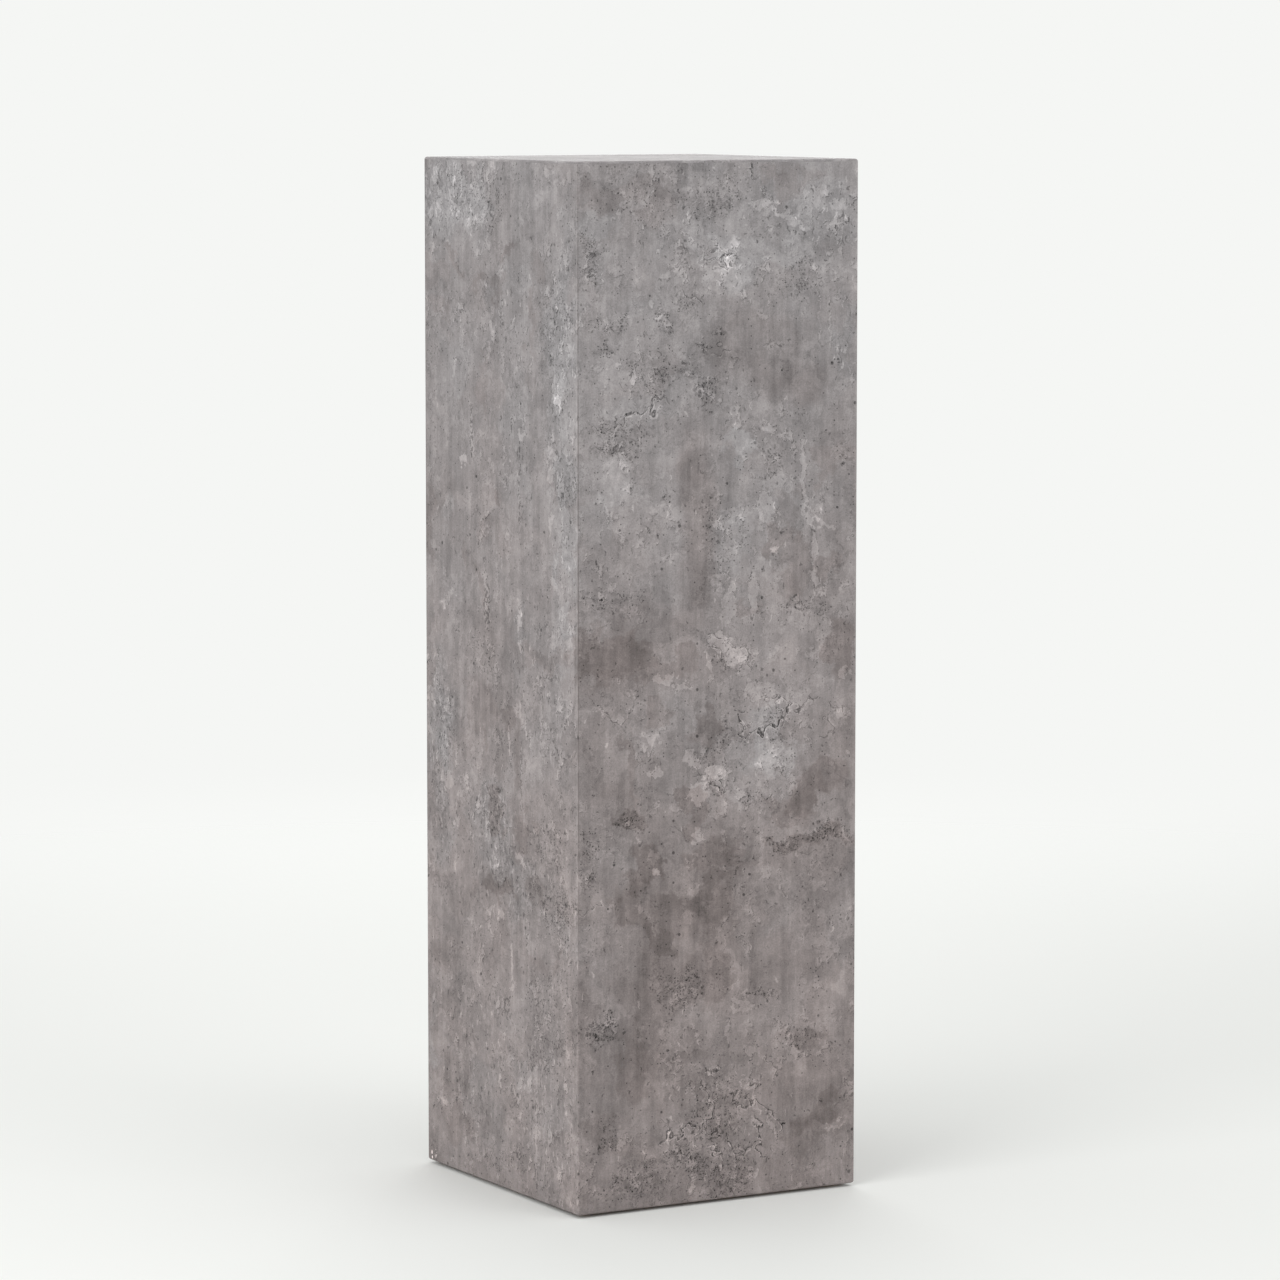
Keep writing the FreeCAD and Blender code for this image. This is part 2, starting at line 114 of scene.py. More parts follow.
# %% Node helpers
class Wiring:
    """Adds nodes to one tree. Every method returns the new node's result."""

    def __init__(self, tree):
        self.tree = tree

    def join(self, target, source):
        if isinstance(source, bpy.types.NodeSocket):
            self.tree.links.new(source, target)
        else:
            target.default_value = source

    def add(self, kind, feeds=None, result=0, **settings):
        node = self.tree.nodes.new(kind)
        for name, value in settings.items():
            setattr(node, name, value)
        for key, source in (feeds or {}).items():
            self.join(node.inputs[key], source)
        return node.outputs[result]

    def calc(self, operation, *values):
        return self.add("ShaderNodeMath", dict(enumerate(values)), operation=operation)

    def times(self, one, other):
        return self.calc("MULTIPLY", one, other)

    def times_plus(self, one, other, more):
        return self.calc("MULTIPLY_ADD", one, other, more)

    def minus(self, one, other):
        return self.calc("SUBTRACT", one, other)

    def total(self, first, *others):
        for other in others:
            first = self.calc("ADD", first, other)
        return first

    def size_of(self, value):
        return self.calc("ABSOLUTE", value)

    def between(self, value, low, high):
        return self.calc("MAXIMUM", self.calc("MINIMUM", value, high), low)

    def vector(self, operation, *values, result=0):
        return self.add("ShaderNodeVectorMath", dict(enumerate(values)), result,
                        operation=operation)

    def stretch(self, place, x, y, z=1.0):
        return self.vector("MULTIPLY", place, (x, y, z))

    def scale(self, place, factor):
        return self.add("ShaderNodeVectorMath", {0: place, "Scale": factor}, operation="SCALE")

    def split(self, place):
        node = self.tree.nodes.new("ShaderNodeSeparateXYZ")
        self.join(node.inputs[0], place)
        return node.outputs

    def combine(self, x, y, z=0.0):
        return self.add("ShaderNodeCombineXYZ", {0: x, 1: y, 2: z})

    def noise(self, place, size, detail=2.0, rough=0.5, result="Fac", flat=True):
        """A cloud pattern whose largest features are about as wide as size, in metres."""
        feeds = {"Vector": place, "Scale": 1 / size, "Detail": detail, "Roughness": rough}
        return self.add("ShaderNodeTexNoise", feeds, result,
                        noise_dimensions="2D" if flat else "3D")

    def rise(self, value, low, high, start=0.0, end=1.0):
        """A soft step from start to end as the value goes from low to high."""
        feeds = {0: value, 1: low, 2: high, 3: start, 4: end}
        return self.add("ShaderNodeMapRange", feeds, interpolation_type="SMOOTHSTEP", clamp=False)

    def around_half(self, value, gain):
        """A pattern of 0 to 1 as a push either way, gain wide."""
        return self.times_plus(value, gain, -gain / 2)

    def off_half(self, value):
        """How far a pattern of 0 to 1 is from its middle; a line runs where that is nothing."""
        return self.size_of(self.minus(value, 0.5))

    def choose(self, other_side, one, other):
        return self.add("ShaderNodeMix", {0: other_side, 2: one, 3: other})

    def mix(self, share, one, other):
        return self.add("ShaderNodeMix", {0: share, 6: one, 7: other}, 2, data_type="RGBA")

    def group(self, tree, feeds, result=0):
        node = self.tree.nodes.new("ShaderNodeGroup")
        node.node_tree = tree
        for key, source in feeds.items():
            self.join(node.inputs[key], source)
        return node.outputs if result is None else node.outputs[result]


FLOAT = "NodeSocketFloat"
PLACE = "NodeSocketVector"
COLOUR = "NodeSocketColor"
ORIGIN = (0.0, 0.0, 0.0)


def new_group(name, inputs, outputs):
    """An empty shader group; returns its wiring, its inputs and its outputs."""
    tree = bpy.data.node_groups.new(name, "ShaderNodeTree")
    for label, value in inputs.items():
        kind = FLOAT if isinstance(value, float) else PLACE
        socket = tree.interface.new_socket(label, in_out="INPUT", socket_type=kind)
        socket.default_value = value
    for label, kind in outputs.items():
        tree.interface.new_socket(label, in_out="OUTPUT", socket_type=kind)
    start = tree.nodes.new("NodeGroupInput")
    end = tree.nodes.new("NodeGroupOutput")
    return Wiring(tree), start.outputs, end.inputs


def new_material(name):
    """A material with one Principled shader; returns the material, its wiring and the shader."""
    material = bpy.data.materials.new(name)
    material.use_nodes = True
    tree = material.node_tree
    return material, Wiring(tree), tree.nodes["Principled BSDF"]


def object_point(w):
    return w.add("ShaderNodeTexCoord", result="Object")


def finish(w, shader, colour, roughness, relief, strength, depth):
    """Feed a shader its colour, its roughness and a fine relief, with its strength and depth."""
    w.join(shader.inputs["Base Color"], colour)
    w.join(shader.inputs["Roughness"], roughness)
    bump = w.add("ShaderNodeBump", {"Strength": strength, "Distance": depth, "Height": relief})
    w.join(shader.inputs["Normal"], bump)


def seen_colour(red, green, blue):
    """A colour as a picture shows it, 0 to 255, as the plain numbers that a shader wants."""
    def plain(value):
        share = value / 255
        return share / 12.92 if share <= 0.04045 else ((share + 0.055) / 1.055) ** 2.4
    return (plain(red), plain(green), plain(blue), 1.0)


# %% [markdown]
# ## Floor and background
#
# The photograph's background is one even, very pale grey. A floor that runs to a horizon would
# show a line, so this floor is a round sheet that fades out a couple of metres from the column,
# and the world behind it has the same pale grey. The world shows that colour to the camera, to
# gloss and through glass, while the light that it sheds on the object is set apart. The floor is
# a real, lit surface, so it keeps the column's soft shadow.

# %% Floor and world
BACKGROUND = seen_colour(245, 246, 244)
FLOOR_TONE = 0.97
FLOOR_ROUGHNESS = 0.9
FLOOR_RADIUS = 3.2
FLOOR_SIDES = 96
FLOOR_FADE = (1.2, 3.15)
WORLD_LIGHT = 0.52


def make_floor():
    turns = [2 * math.pi * index / FLOOR_SIDES for index in range(FLOOR_SIDES)]
    ring = [(FLOOR_RADIUS * math.cos(turn), FLOOR_RADIUS * math.sin(turn), 0) for turn in turns]
    mesh = bpy.data.meshes.new("studio_floor")
    mesh.from_pydata(ring, [], [tuple(range(FLOOR_SIDES))])
    floor = bpy.data.objects.new("studio_floor", mesh)
    scene.collection.objects.link(floor)
    material, w, shader = new_material("studio_floor")
    colour = tuple(FLOOR_TONE * value for value in BACKGROUND[:3]) + (1.0,)
    shader.inputs["Base Color"].default_value = colour
    shader.inputs["Roughness"].default_value = FLOOR_ROUGHNESS
    shader.inputs["Specular IOR Level"].default_value = 0.0
    away = w.vector("LENGTH", object_point(w), result="Value")
    w.join(shader.inputs["Alpha"], w.rise(away, *FLOOR_FADE, 1.0, 0.0))
    mesh.materials.append(material)


def make_world():
    world = bpy.data.worlds.new("studio_world")
    world.use_nodes = True
    scene.world = world
    w = Wiring(world.node_tree)
    backdrop = world.node_tree.nodes["Background"]
    path = world.node_tree.nodes.new("ShaderNodeLightPath").outputs
    shown = w.calc("MAXIMUM", path["Is Camera Ray"], path["Is Glossy Ray"])
    shown = w.calc("MAXIMUM", shown, path["Is Transmission Ray"])
    w.join(backdrop.inputs["Color"], BACKGROUND)
    w.join(backdrop.inputs["Strength"], w.times_plus(shown, 1.0 - WORLD_LIGHT, WORLD_LIGHT))


make_floor()
make_world()
print("floor radius:", FLOOR_RADIUS, "m")

# %% [markdown]
# ## Light
#
# The light is soft and comes from all round, a little more from the left than from the front,
# because the left wall is one step paler than the front wall and there is no hard shadow. Large
# area lamps on both sides do that, and a broad one overhead gives the top its light. The lamps
# stay at a plain level, at which a colour comes out about as it was written.

# %% Lamps
LAMPS = (
    # name, place, side in metres, power in watts
    ("left_panel_lamp", (-3.2, -1.2, 1.6), 2.4, 54.0),
    ("front_panel_lamp", (1.4, -3.6, 1.7), 2.6, 32.0),
    ("back_panel_lamp", (1.6, 3.2, 1.8), 2.6, 44.0),
    ("overhead_lamp", (0.0, 0.0, 3.4), 2.6, 34.0),
)
LAMP_TARGET = Vector((0.0, 0.0, 0.5))


def make_lamp(name, place, side, power):
    data = bpy.data.lights.new(name, "AREA")
    data.shape = "SQUARE"
    data.size = side
    data.energy = power
    lamp = bpy.data.objects.new(name, data)
    lamp.location = place
    lamp.rotation_euler = (LAMP_TARGET - Vector(place)).to_track_quat("-Z", "Y").to_euler()
    scene.collection.objects.link(lamp)


for lamp in LAMPS:
    make_lamp(*lamp)
scene.view_settings.view_transform = "Standard"
print("lamps:", len(LAMPS))

# %% [markdown]
# ## The decor sheet, step 1: where a point lies on the flat sheet
#
# The decor is one printed sheet that is folded round the four walls, so its pattern runs on round
# the folds. A pattern drawn in space would do that too, but it would look cut from a block. We
# unroll the sheet instead: a point on a wall becomes a distance along the sheet, measured from the
# fold between the left and the front wall, and its height. Under the foot the sheet is turned in,
# so there its height goes on below zero by the way that it runs in from the wall. The two ends of
# the sheet meet on the back wall, beside its left corner, and there the pattern jumps, as it does
# on the real thing.

# %% Unroll the sheet
WIDTH = cad_box[1].x - cad_box[0].x
HALF = WIDTH / 2
JOINT_X = -151.9 * MM


def make_unrolled_group():
    w, given, made = new_group("unrolled_sheet", {"Point": ORIGIN},
                               {"Place": PLACE, "Along": FLOAT})
    x, y, z = w.split(given["Point"])
    far_x, far_y = w.size_of(x), w.size_of(y)
    sideways = w.calc("GREATER_THAN", far_x, far_y)
    turned_in = w.minus(HALF, w.calc("MAXIMUM", far_x, far_y))
    behind = w.calc("GREATER_THAN", y, 0.0)
    rightwards = w.calc("GREATER_THAN", x, 0.0)
    past_joint = w.calc("LESS_THAN", x, JOINT_X)
    front = w.total(x, HALF)
    back = w.minus(2 * WIDTH + HALF, x)
    back = w.times_plus(past_joint, -4 * WIDTH, back)
    right = w.total(y, HALF + WIDTH)
    left = w.minus(-HALF, y)
    front_or_back = w.choose(behind, front, back)
    left_or_right = w.choose(rightwards, left, right)
    along = w.choose(sideways, front_or_back, left_or_right)
    w.join(made["Place"], w.combine(along, w.minus(z, turned_in)))
    w.join(made["Along"], along)
    return w.tree


unrolled_sheet = make_unrolled_group()
print("sheet once round:", round(4 * WIDTH, 3), "m")

# %% [markdown]
# ## The decor sheet, step 2: one mark
#
# Much of what the eye remembers of this sheet are single marks: a brown cloud here, a pale flake
# there, a crack. They could be painted into an image, but then the finish would depend on a file.
# Every mark is an ellipse on the sheet instead, with a place, a size, a tilt, a soft or a crisp
# rim and a strength. Its outline is ragged because the place that it is given has been shaken by
# a noise first. A crack is the same thing: an ellipse that is a hundred times as long as wide,
# which the shaking turns into a wandering line.
#
# Hundreds of marks are evaluated at every point of the sheet, so each must be cheap. The sheet is
# turned once for every tilt in use, in steps of fifteen degrees, and after that a mark takes four
# nodes: stretch the ellipse to a circle round the origin, square the distance, fade, add.

# %% One mark
TILT_STEP = 15


def make_mark_group():
    w, given, made = new_group(
        "sheet_mark", {"Place": ORIGIN, "Stretch": (1.0, 1.0, 0.0), "Shift": ORIGIN, "Inside": 0.5,
                       "Outside": 1.5, "Strength": 1.0, "Before": 0.0}, {"After": FLOAT})
    local = w.vector("MULTIPLY_ADD", given["Place"], given["Stretch"], given["Shift"])
    away = w.vector("DOT_PRODUCT", local, local, result="Value")
    inked = w.rise(away, given["Inside"], given["Outside"], given["Strength"], 0.0)
    w.join(made["After"], w.total(given["Before"], inked))
    return w.tree


sheet_mark = make_mark_group()


def add_marks(w, place, marks, rim, level=0.0):
    """Add a list of marks, in millimetres, degrees and steps of 255, to a running level."""
    turned = {}
    for across, up, half_wide, half_high, tilt, steps in marks:
        tilt = TILT_STEP * round(tilt / TILT_STEP) % 180
        angle = math.radians(tilt)
        if tilt not in turned:
            turned[tilt] = place if tilt == 0 else w.add(
                "ShaderNodeVectorRotate", {"Vector": place, "Angle": -angle},
                rotation_type="Z_AXIS")
        along = math.cos(angle) * across + math.sin(angle) * up
        aside = math.cos(angle) * up - math.sin(angle) * across
        level = w.group(sheet_mark, {
            "Place": turned[tilt], "Stretch": (1 / (half_wide * MM), 1 / (half_high * MM), 0.0),
            "Shift": (-along / half_wide, -aside / half_high, 0.0),
            "Inside": 1.0 - rim, "Outside": 1.0 + rim, "Strength": steps / 255,
            "Before": level})
    return level


# %% [markdown]
# The marks themselves. Each line is a place along the sheet, a height, half a width, half a
# height, a tilt and how much darker or paler the mark is. The fold between the left and the front
# wall is at 0, so the left wall has the negative places.

# %% The large, soft clouds
CLOUDS = (
    # front wall
    (235, 982, 30, 13, 0, -8), (35, 968, 34, 14, 0, -6), (90, 962, 14, 20, 0, -6),
    (60, 888, 28, 24, 0, -5),
    (32, 538, 46, 26, 0, -13), (102, 522, 26, 12, -10, -7), (225, 640, 19, 16, 0, -11),
    (240, 605, 22, 22, 0, -6), (232, 675, 18, 20, 0, -6), (272, 615, 13, 11, 0, -8),
    (290, 530, 17, 30, 0, -10), (266, 715, 14, 17, 0, -7), (293, 722, 15, 10, 0, -5),
    (181, 570, 8, 12, 0, -7), (60, 425, 7, 38, 0, -7), (90, 480, 18, 15, 0, -8),
    (136, 462, 16, 10, 0, -10), (119, 388, 9, 20, 8, -11), (54, 380, 16, 8, 0, -10),
    (68, 330, 19, 27, 0, -14), (60, 298, 22, 20, 0, -8), (145, 332, 25, 19, 0, -9),
    (150, 288, 26, 22, 0, -11), (112, 282, 34, 24, 20, -8), (80, 262, 25, 10, -33, -12),
    (170, 328, 7, 26, 0, -6), (266, 400, 30, 22, 20, -12), (240, 382, 30, 15, 0, -7),
    (255, 346, 44, 9, 3, -9), (152, 225, 15, 30, 0, -10), (146, 250, 13, 12, 0, -7),
    (58, 142, 15, 40, -5, -9), (110, 222, 32, 20, 0, -5), (266, 75, 22, 15, 20, -12),
    (248, 55, 24, 20, 0, -6), (250, 152, 26, 13, 0, -6), (20, 82, 18, 14, 0, -5),
    (20, 938, 20, 20, 0, 6), (190, 912, 60, 14, 0, 5), (80, 772, 60, 16, 8, 4),
    (45, 812, 40, 24, 0, 3), (178, 727, 23, 20, 0, 11), (32, 700, 40, 22, 0, 4),
    (15, 662, 14, 26, 0, 4), (160, 642, 26, 32, 0, 5), (215, 448, 26, 34, 0, 8),
    (190, 412, 40, 30, 0, 5), (20, 560, 60, 10, 0, 3), (205, 290, 40, 34, 0, 4),
    (30, 262, 34, 30, 0, 4), (28, 200, 20, 30, 0, 4), (296, 250, 20, 60, 0, 3),
    # left wall
    (-290, 890, 34, 20, 0, -7), (-246, 903, 28, 6, -42, -9), (-172, 878, 34, 8, 0, -8),
    (-138, 916, 20, 6, 33, -10), (-284, 855, 26, 8, 0, -7), (-93, 855, 8, 34, 0, -6),
    (-74, 895, 9, 9, 0, -6), (-186, 780, 7, 32, 0, -6), (-230, 762, 12, 8, 0, -5),
    (-156, 682, 7, 14, 25, -10), (-185, 645, 16, 11, 0, -6), (-150, 636, 16, 16, 0, -5),
    (-195, 590, 6, 18, 0, -6), (-225, 615, 6, 13, 0, -6), (-301, 640, 9, 50, 0, -6),
    (-45, 690, 12, 15, 0, -7), (-62, 528, 62, 12, 0, -7), (-190, 468, 32, 20, 0, -5),
    (-142, 465, 14, 9, 0, -7), (-120, 430, 9, 32, 0, -6), (-190, 440, 6, 11, 0, -8),
    (-162, 368, 16, 20, 0, -12), (-110, 352, 14, 12, 0, -8), (-84, 366, 13, 13, 0, -7),
    (-150, 298, 30, 10, -4, -13), (-82, 300, 14, 8, 0, -7), (-252, 352, 36, 20, 0, -4),
    (-206, 290, 15, 9, 0, -5), (-42, 240, 9, 12, 0, -6), (-250, 215, 42, 22, 0, -4),
    (-205, 150, 62, 30, 0, -3), (-250, 98, 42, 22, 0, -5), (-242, 52, 26, 22, 0, -5),
    (-25, 76, 16, 9, 0, -4), (-225, 965, 48, 26, 0, 5), (-35, 880, 30, 14, 0, 5),
    (-34, 795, 17, 34, 0, 6), (-25, 700, 22, 24, 0, 5), (-16, 650, 15, 34, 0, 6),
    (-44, 612, 13, 18, 0, 6), (-20, 570, 18, 16, 0, 5), (-262, 655, 14, 16, 0, 5),
    (-260, 425, 24, 24, 0, 5), (-140, 400, 15, 22, 0, 6), (-60, 262, 42, 24, 0, 6),
    (-42, 205, 34, 34, 0, 4), (-300, 140, 10, 40, 0, 6), (-110, 120, 40, 14, 0, 4),
    (-130, 325, 16, 10, 0, 5), (-120, 790, 30, 60, 0, 2), (-250, 790, 30, 40, 0, 2),
)
print("clouds:", len(CLOUDS))

# %% The widest and softest ones, whose outlines are hardly shaken
SOFT_CLOUDS = (
    (154, 110, 190, 170, 0, -2.5), (-154, 90, 190, 150, 0, 1.5), (-200, 968, 120, 34, 0, 2),
    (-34, 725, 34, 210, 0, 2), (-154, 660, 190, 400, 0, -1.5), (208, 812, 66, 34, -15, -9),
    (244, 788, 26, 16, -15, -6),
    (130, 668, 20, 78, 0, -12), (118, 580, 20, 32, 0, -5), (290, 600, 60, 240, 0, -2),
    (52, 966, 70, 44, 0, -5), (150, 830, 200, 200, 0, 2.5), (60, 540, 70, 34, 10, -5),
    (196, 640, 44, 70, 0, 3), (230, 470, 70, 50, 0, 3), (90, 250, 70, 60, 20, -3),
    (150, 300, 90, 60, 30, -4), (75, 170, 22, 70, 0, -5),
)
print("soft clouds:", len(SOFT_CLOUDS))

# %% The small pale flakes
FLAKES = (
    # front wall
    (158, 896, 8, 3, 0, 8), (168, 906, 9, 2, 10, 6), (205, 956, 16, 6, -10, 9),
    (230, 944, 20, 4, -24, 10), (262, 966, 8, 8, 0, 7), (286, 956, 9, 6, 0, 8),
    (110, 916, 7, 12, 0, 5), (290, 892, 10, 4, 0, 6), (207, 746, 7, 5, -20, 11),
    (207, 668, 9, 17, 0, 9), (217, 629, 7, 2.5, 10, 17), (247, 705, 3, 30, -4, 8),
    (254, 665, 6, 15, 25, 9), (272, 650, 16, 3, -14, 9), (260, 626, 3.5, 20, 0, 9),
    (259, 600, 5, 8, 0, 11), (267, 586, 8, 3, -35, 10), (167, 592, 7, 4, 30, 12),
    (163, 572, 7, 18, -15, 8), (152, 602, 12, 8, 0, 6), (192, 588, 5, 24, 6, 9),
    (155, 543, 14, 10, -25, 12), (173, 527, 11, 10, 0, 11), (143, 524, 2.5, 10, 12, 11),
    (93, 509, 10, 6, 0, 11), (114, 503, 9, 5, 0, 10), (294, 506, 8, 5, 25, 10),
    (200, 495, 18, 10, 0, 7), (245, 482, 14, 9, 0, 7), (293, 468, 10, 6, -30, 8),
    (80, 455, 11, 4, 0, 9), (84, 423, 5, 5, 0, 12), (124, 432, 8, 9, 0, 12),
    (149, 418, 13, 8, -15, 12), (134, 400, 15, 10, 0, 11), (152, 384, 10, 12, 0, 7),
    (131, 357, 6, 6, 0, 11), (82, 340, 4, 8, 0, 10), (83, 325, 7, 4, 0, 17),
    (125, 336, 4, 4, 0, 9), (127, 304, 9, 4, 0, 7), (67, 295, 4, 3, 0, 8),
    (36, 299, 5, 3, 0, 8), (180, 192, 11, 9, 0, 8), (166, 207, 12, 2.5, 25, 8),
    (164, 166, 2.5, 14, 0, 7), (285, 63, 15, 2.5, 20, 10), (185, 113, 8, 2, -45, 9),
    (196, 90, 9, 2.5, -42, 9), (214, 70, 3, 11, 25, 9), (126, 22, 3, 5, 20, 13),
    (190, 22, 12, 4, 12, 9), (298, 40, 1.5, 16, -15, 7), (265, 850, 0.9, 26, 0, 7),
    (277, 838, 0.9, 20, 0, 10), (218, 825, 12, 4, 5, 5), (24, 770, 1.2, 10, 8, 7),
    # left wall
    (-286, 984, 7, 8, 0, 12), (-281, 968, 4, 8, 0, 10), (-274, 951, 9, 5, 0, 9),
    (-250, 954, 2.5, 6, 0, 12), (-210, 997, 12, 4, 0, 10), (-170, 993, 8, 4, 0, 10),
    (-208, 985, 10, 2, 0, 9), (-190, 943, 11, 5, 0, 7), (-60, 987, 6, 5, 0, 8),
    (-168, 833, 4, 12, 10, 10), (-176, 812, 4, 12, -10, 10), (-166, 856, 6, 5, 0, 7),
    (-148, 855, 2.5, 12, 0, 6), (-246, 795, 3, 10, -20, 9), (-30, 776, 12, 9, 0, 6),
    (-46, 724, 9, 6, 0, 10), (-50, 706, 6, 7, 0, 11), (-52, 658, 4, 12, -20, 9),
    (-46, 600, 7, 6, 0, 7), (-24, 575, 9, 3, 20, 8), (-12, 560, 9, 5, 0, 8),
    (-48, 548, 8, 4, 0, 8), (-109, 740, 7, 4, 0, 13), (-114, 690, 2, 50, 0, 4),
    (-226, 708, 6.5, 4.5, 0, 16), (-211, 735, 3, 28, 0, 4), (-138, 697, 4, 2, 0, 9),
    (-138, 632, 6, 15, 0, 6), (-260, 571, 17, 2, 28, 10), (-275, 564, 4, 3, 0, 12),
    (-115, 560, 5, 11, 0, 14), (-112, 534, 2.5, 6, 25, 14), (-180, 568, 6, 22, 0, 4),
    (-268, 460, 6, 4, 0, 11), (-295, 466, 4, 6, 0, 8), (-250, 470, 2.5, 4, 0, 9),
    (-246, 408, 7, 1.6, 0, 11), (-266, 391, 13, 7, -20, 9), (-223, 388, 8, 10, 0, 7),
    (-119, 474, 7, 8, 0, 10), (-136, 444, 2.5, 15, 0, 11), (-72, 475, 2, 36, 0, 7),
    (-205, 486, 5, 12, 0, 7), (-112, 410, 2, 34, 0, 5), (-287, 355, 1.2, 30, 0, 7),
    (-276, 347, 2, 7, 0, 10), (-274, 328, 1.5, 5, 0, 9), (-114, 331, 13, 4, -25, 13),
    (-165, 320, 6, 5, 0, 7), (-128, 314, 2.5, 12, 0, 7), (-173, 273, 6, 6, 0, 10),
    (-156, 270, 8, 3.5, 20, 12), (-220, 256, 6, 2, 0, 8), (-132, 228, 2.5, 20, 0, 11),
    (-129, 203, 4, 6, 0, 9), (-278, 178, 2.5, 3.5, 0, 11), (-279, 155, 11, 2.5, 0, 7),
    (-213, 130, 4, 7, 20, 9), (-142, 182, 9, 9, 0, 5), (-156, 107, 2.5, 8, 20, 13),
    (-84, 122, 6, 14, 0, 6), (-83, 60, 3, 44, 0, 8), (-240, 82, 7, 7, 0, 8),
    (-274, 70, 8, 6, 0, 8), (-206, 45, 3, 8, 0, 9), (-227, 35, 2.5, 6, 0, 9),
    (-222, 14, 6, 4, 0, 8), (-258, 14, 7, 2, 30, 9), (-36, 39, 3, 1.6, 0, 9),
    (-294, 12, 1.3, 1.3, 0, 40), (-292, 8, 1.3, 1.5, 0, 40),
)
print("flakes:", len(FLAKES))

# %% The cracks and dark scratches
CRACKS = (
    # front wall
    (62, 762, 40, 0.9, 14, -24), (38, 727, 13, 0.6, 0, -16), (76, 728, 26, 0.5, 0, -8),
    (58, 780, 12, 0.7, -10, -14), (86, 796, 18, 0.8, -18, -14), (155, 914, 15, 0.8, -25, -20),
    (160, 905, 12, 1.0, 24, -28), (150, 905, 9, 0.8, -10, -22), (172, 908, 9, 0.8, -35, -20),
    (206, 970, 9, 0.8, -50, -18), (185, 992, 10, 0.9, -62, -20), (232, 942, 16, 0.7, -26, -12),
    (200, 457, 32, 1.2, 18, -34), (176, 460, 11, 1.0, 78, -30), (222, 476, 12, 0.9, 82, -26),
    (230, 468, 10, 1.1, 62, -30), (215, 482, 12, 0.8, 5, -22), (205, 470, 10, 0.8, 60, -16),
    (250, 476, 12, 0.8, 12, -20), (276, 456, 9, 0.8, 40, -18), (291, 470, 9, 0.9, -32, -20),
    (148, 408, 20, 0.9, -24, -24), (160, 411, 13, 0.9, -72, -24), (126, 432, 11, 0.7, 80, -14),
    (146, 537, 15, 0.9, -55, -24), (158, 546, 17, 0.8, -32, -22), (181, 528, 10, 0.8, -75, -18),
    (160, 524, 14, 0.6, -10, -12), (30, 482, 20, 1.6, -26, -20), (106, 75, 20, 1.2, 2, -26),
    (91, 72, 8, 1.2, 88, -24), (138, 104, 14, 1.0, -58, -22), (147, 93, 14, 1.3, -76, -30),
    (151, 76, 14, 1.1, -48, -24), (166, 60, 22, 1.0, -14, -22), (204, 84, 28, 1.0, -44, -26),
    (187, 112, 12, 0.9, -50, -20), (192, 70, 13, 1.1, -82, -26), (180, 88, 11, 0.9, 18, -20),
    (170, 94, 12, 0.9, -30, -18), (188, 52, 10, 1.2, 10, -26), (200, 42, 14, 1.1, -70, -24),
    (150, 42, 12, 1.2, -62, -26), (216, 131, 13, 0.9, -48, -20), (221, 66, 10, 0.9, -70, -20),
    (150, 126, 9, 1.0, 10, -20), (14, 297, 16, 1.0, 4, -18), (292, 402, 15, 1.5, -48, -7),
    (120, 360, 22, 0.8, 4, -10), (250, 338, 28, 0.8, 0, -14), (262, 352, 22, 0.8, -3, -12),
    (120, 873, 15, 0.9, -20, -18), (150, 824, 10, 0.9, 15, -18), (22, 740, 10, 0.8, 60, -16),
    # left wall
    (-54, 507, 18, 1.2, 0, -16), (-55, 299, 28, 1.0, 8, -12), (-230, 893, 16, 1.6, -45, -8),
    (-250, 286, 26, 0.7, 0, -8), (-120, 82, 26, 0.8, 8, -9), (-205, 62, 8, 0.9, 20, -12),
    (-55, 176, 20, 0.7, 0, -7), (-300, 372, 10, 0.8, 0, -9), (-225, 455, 16, 0.6, 0, -7),
)
print("cracks:", len(CRACKS))

# %% The chalky places, with short upright strokes, pale and dark
CHALKY = (
    (-262, 962, 52, 34, 0, 255), (-205, 948, 34, 24, 0, 150), (-32, 800, 30, 110, 0, 190),
    (-28, 620, 26, 90, 0, 150), (-284, 440, 26, 80, 0, 230), (-268, 340, 20, 40, 0, 160),
    (-172, 352, 40, 50, -20, 230), (-120, 300, 34, 34, 0, 160), (-112, 540, 14, 40, 0, 130),
    (-60, 480, 50, 90, 0, 90), (-200, 120, 60, 90, 0, 110), (-60, 90, 60, 80, 0, 130),
    (-118, 770, 30, 120, 0, 80), (296, 830, 10, 40, 0, 160), (262, 950, 44, 24, -15, 150),
    (110, 935, 40, 20, 0, 80), (170, 900, 26, 14, 0, 150), (150, 90, 60, 50, 0, 90),
)
print("chalky places:", len(CHALKY))

# %% Two nicks at the foot of the left wall, which bare the white core of the sheet
NICKS = ((-300.2, 11.5, 1.3, 2.2, 0, 120), (-299.4, 6.5, 1.2, 1.6, 0, 120))

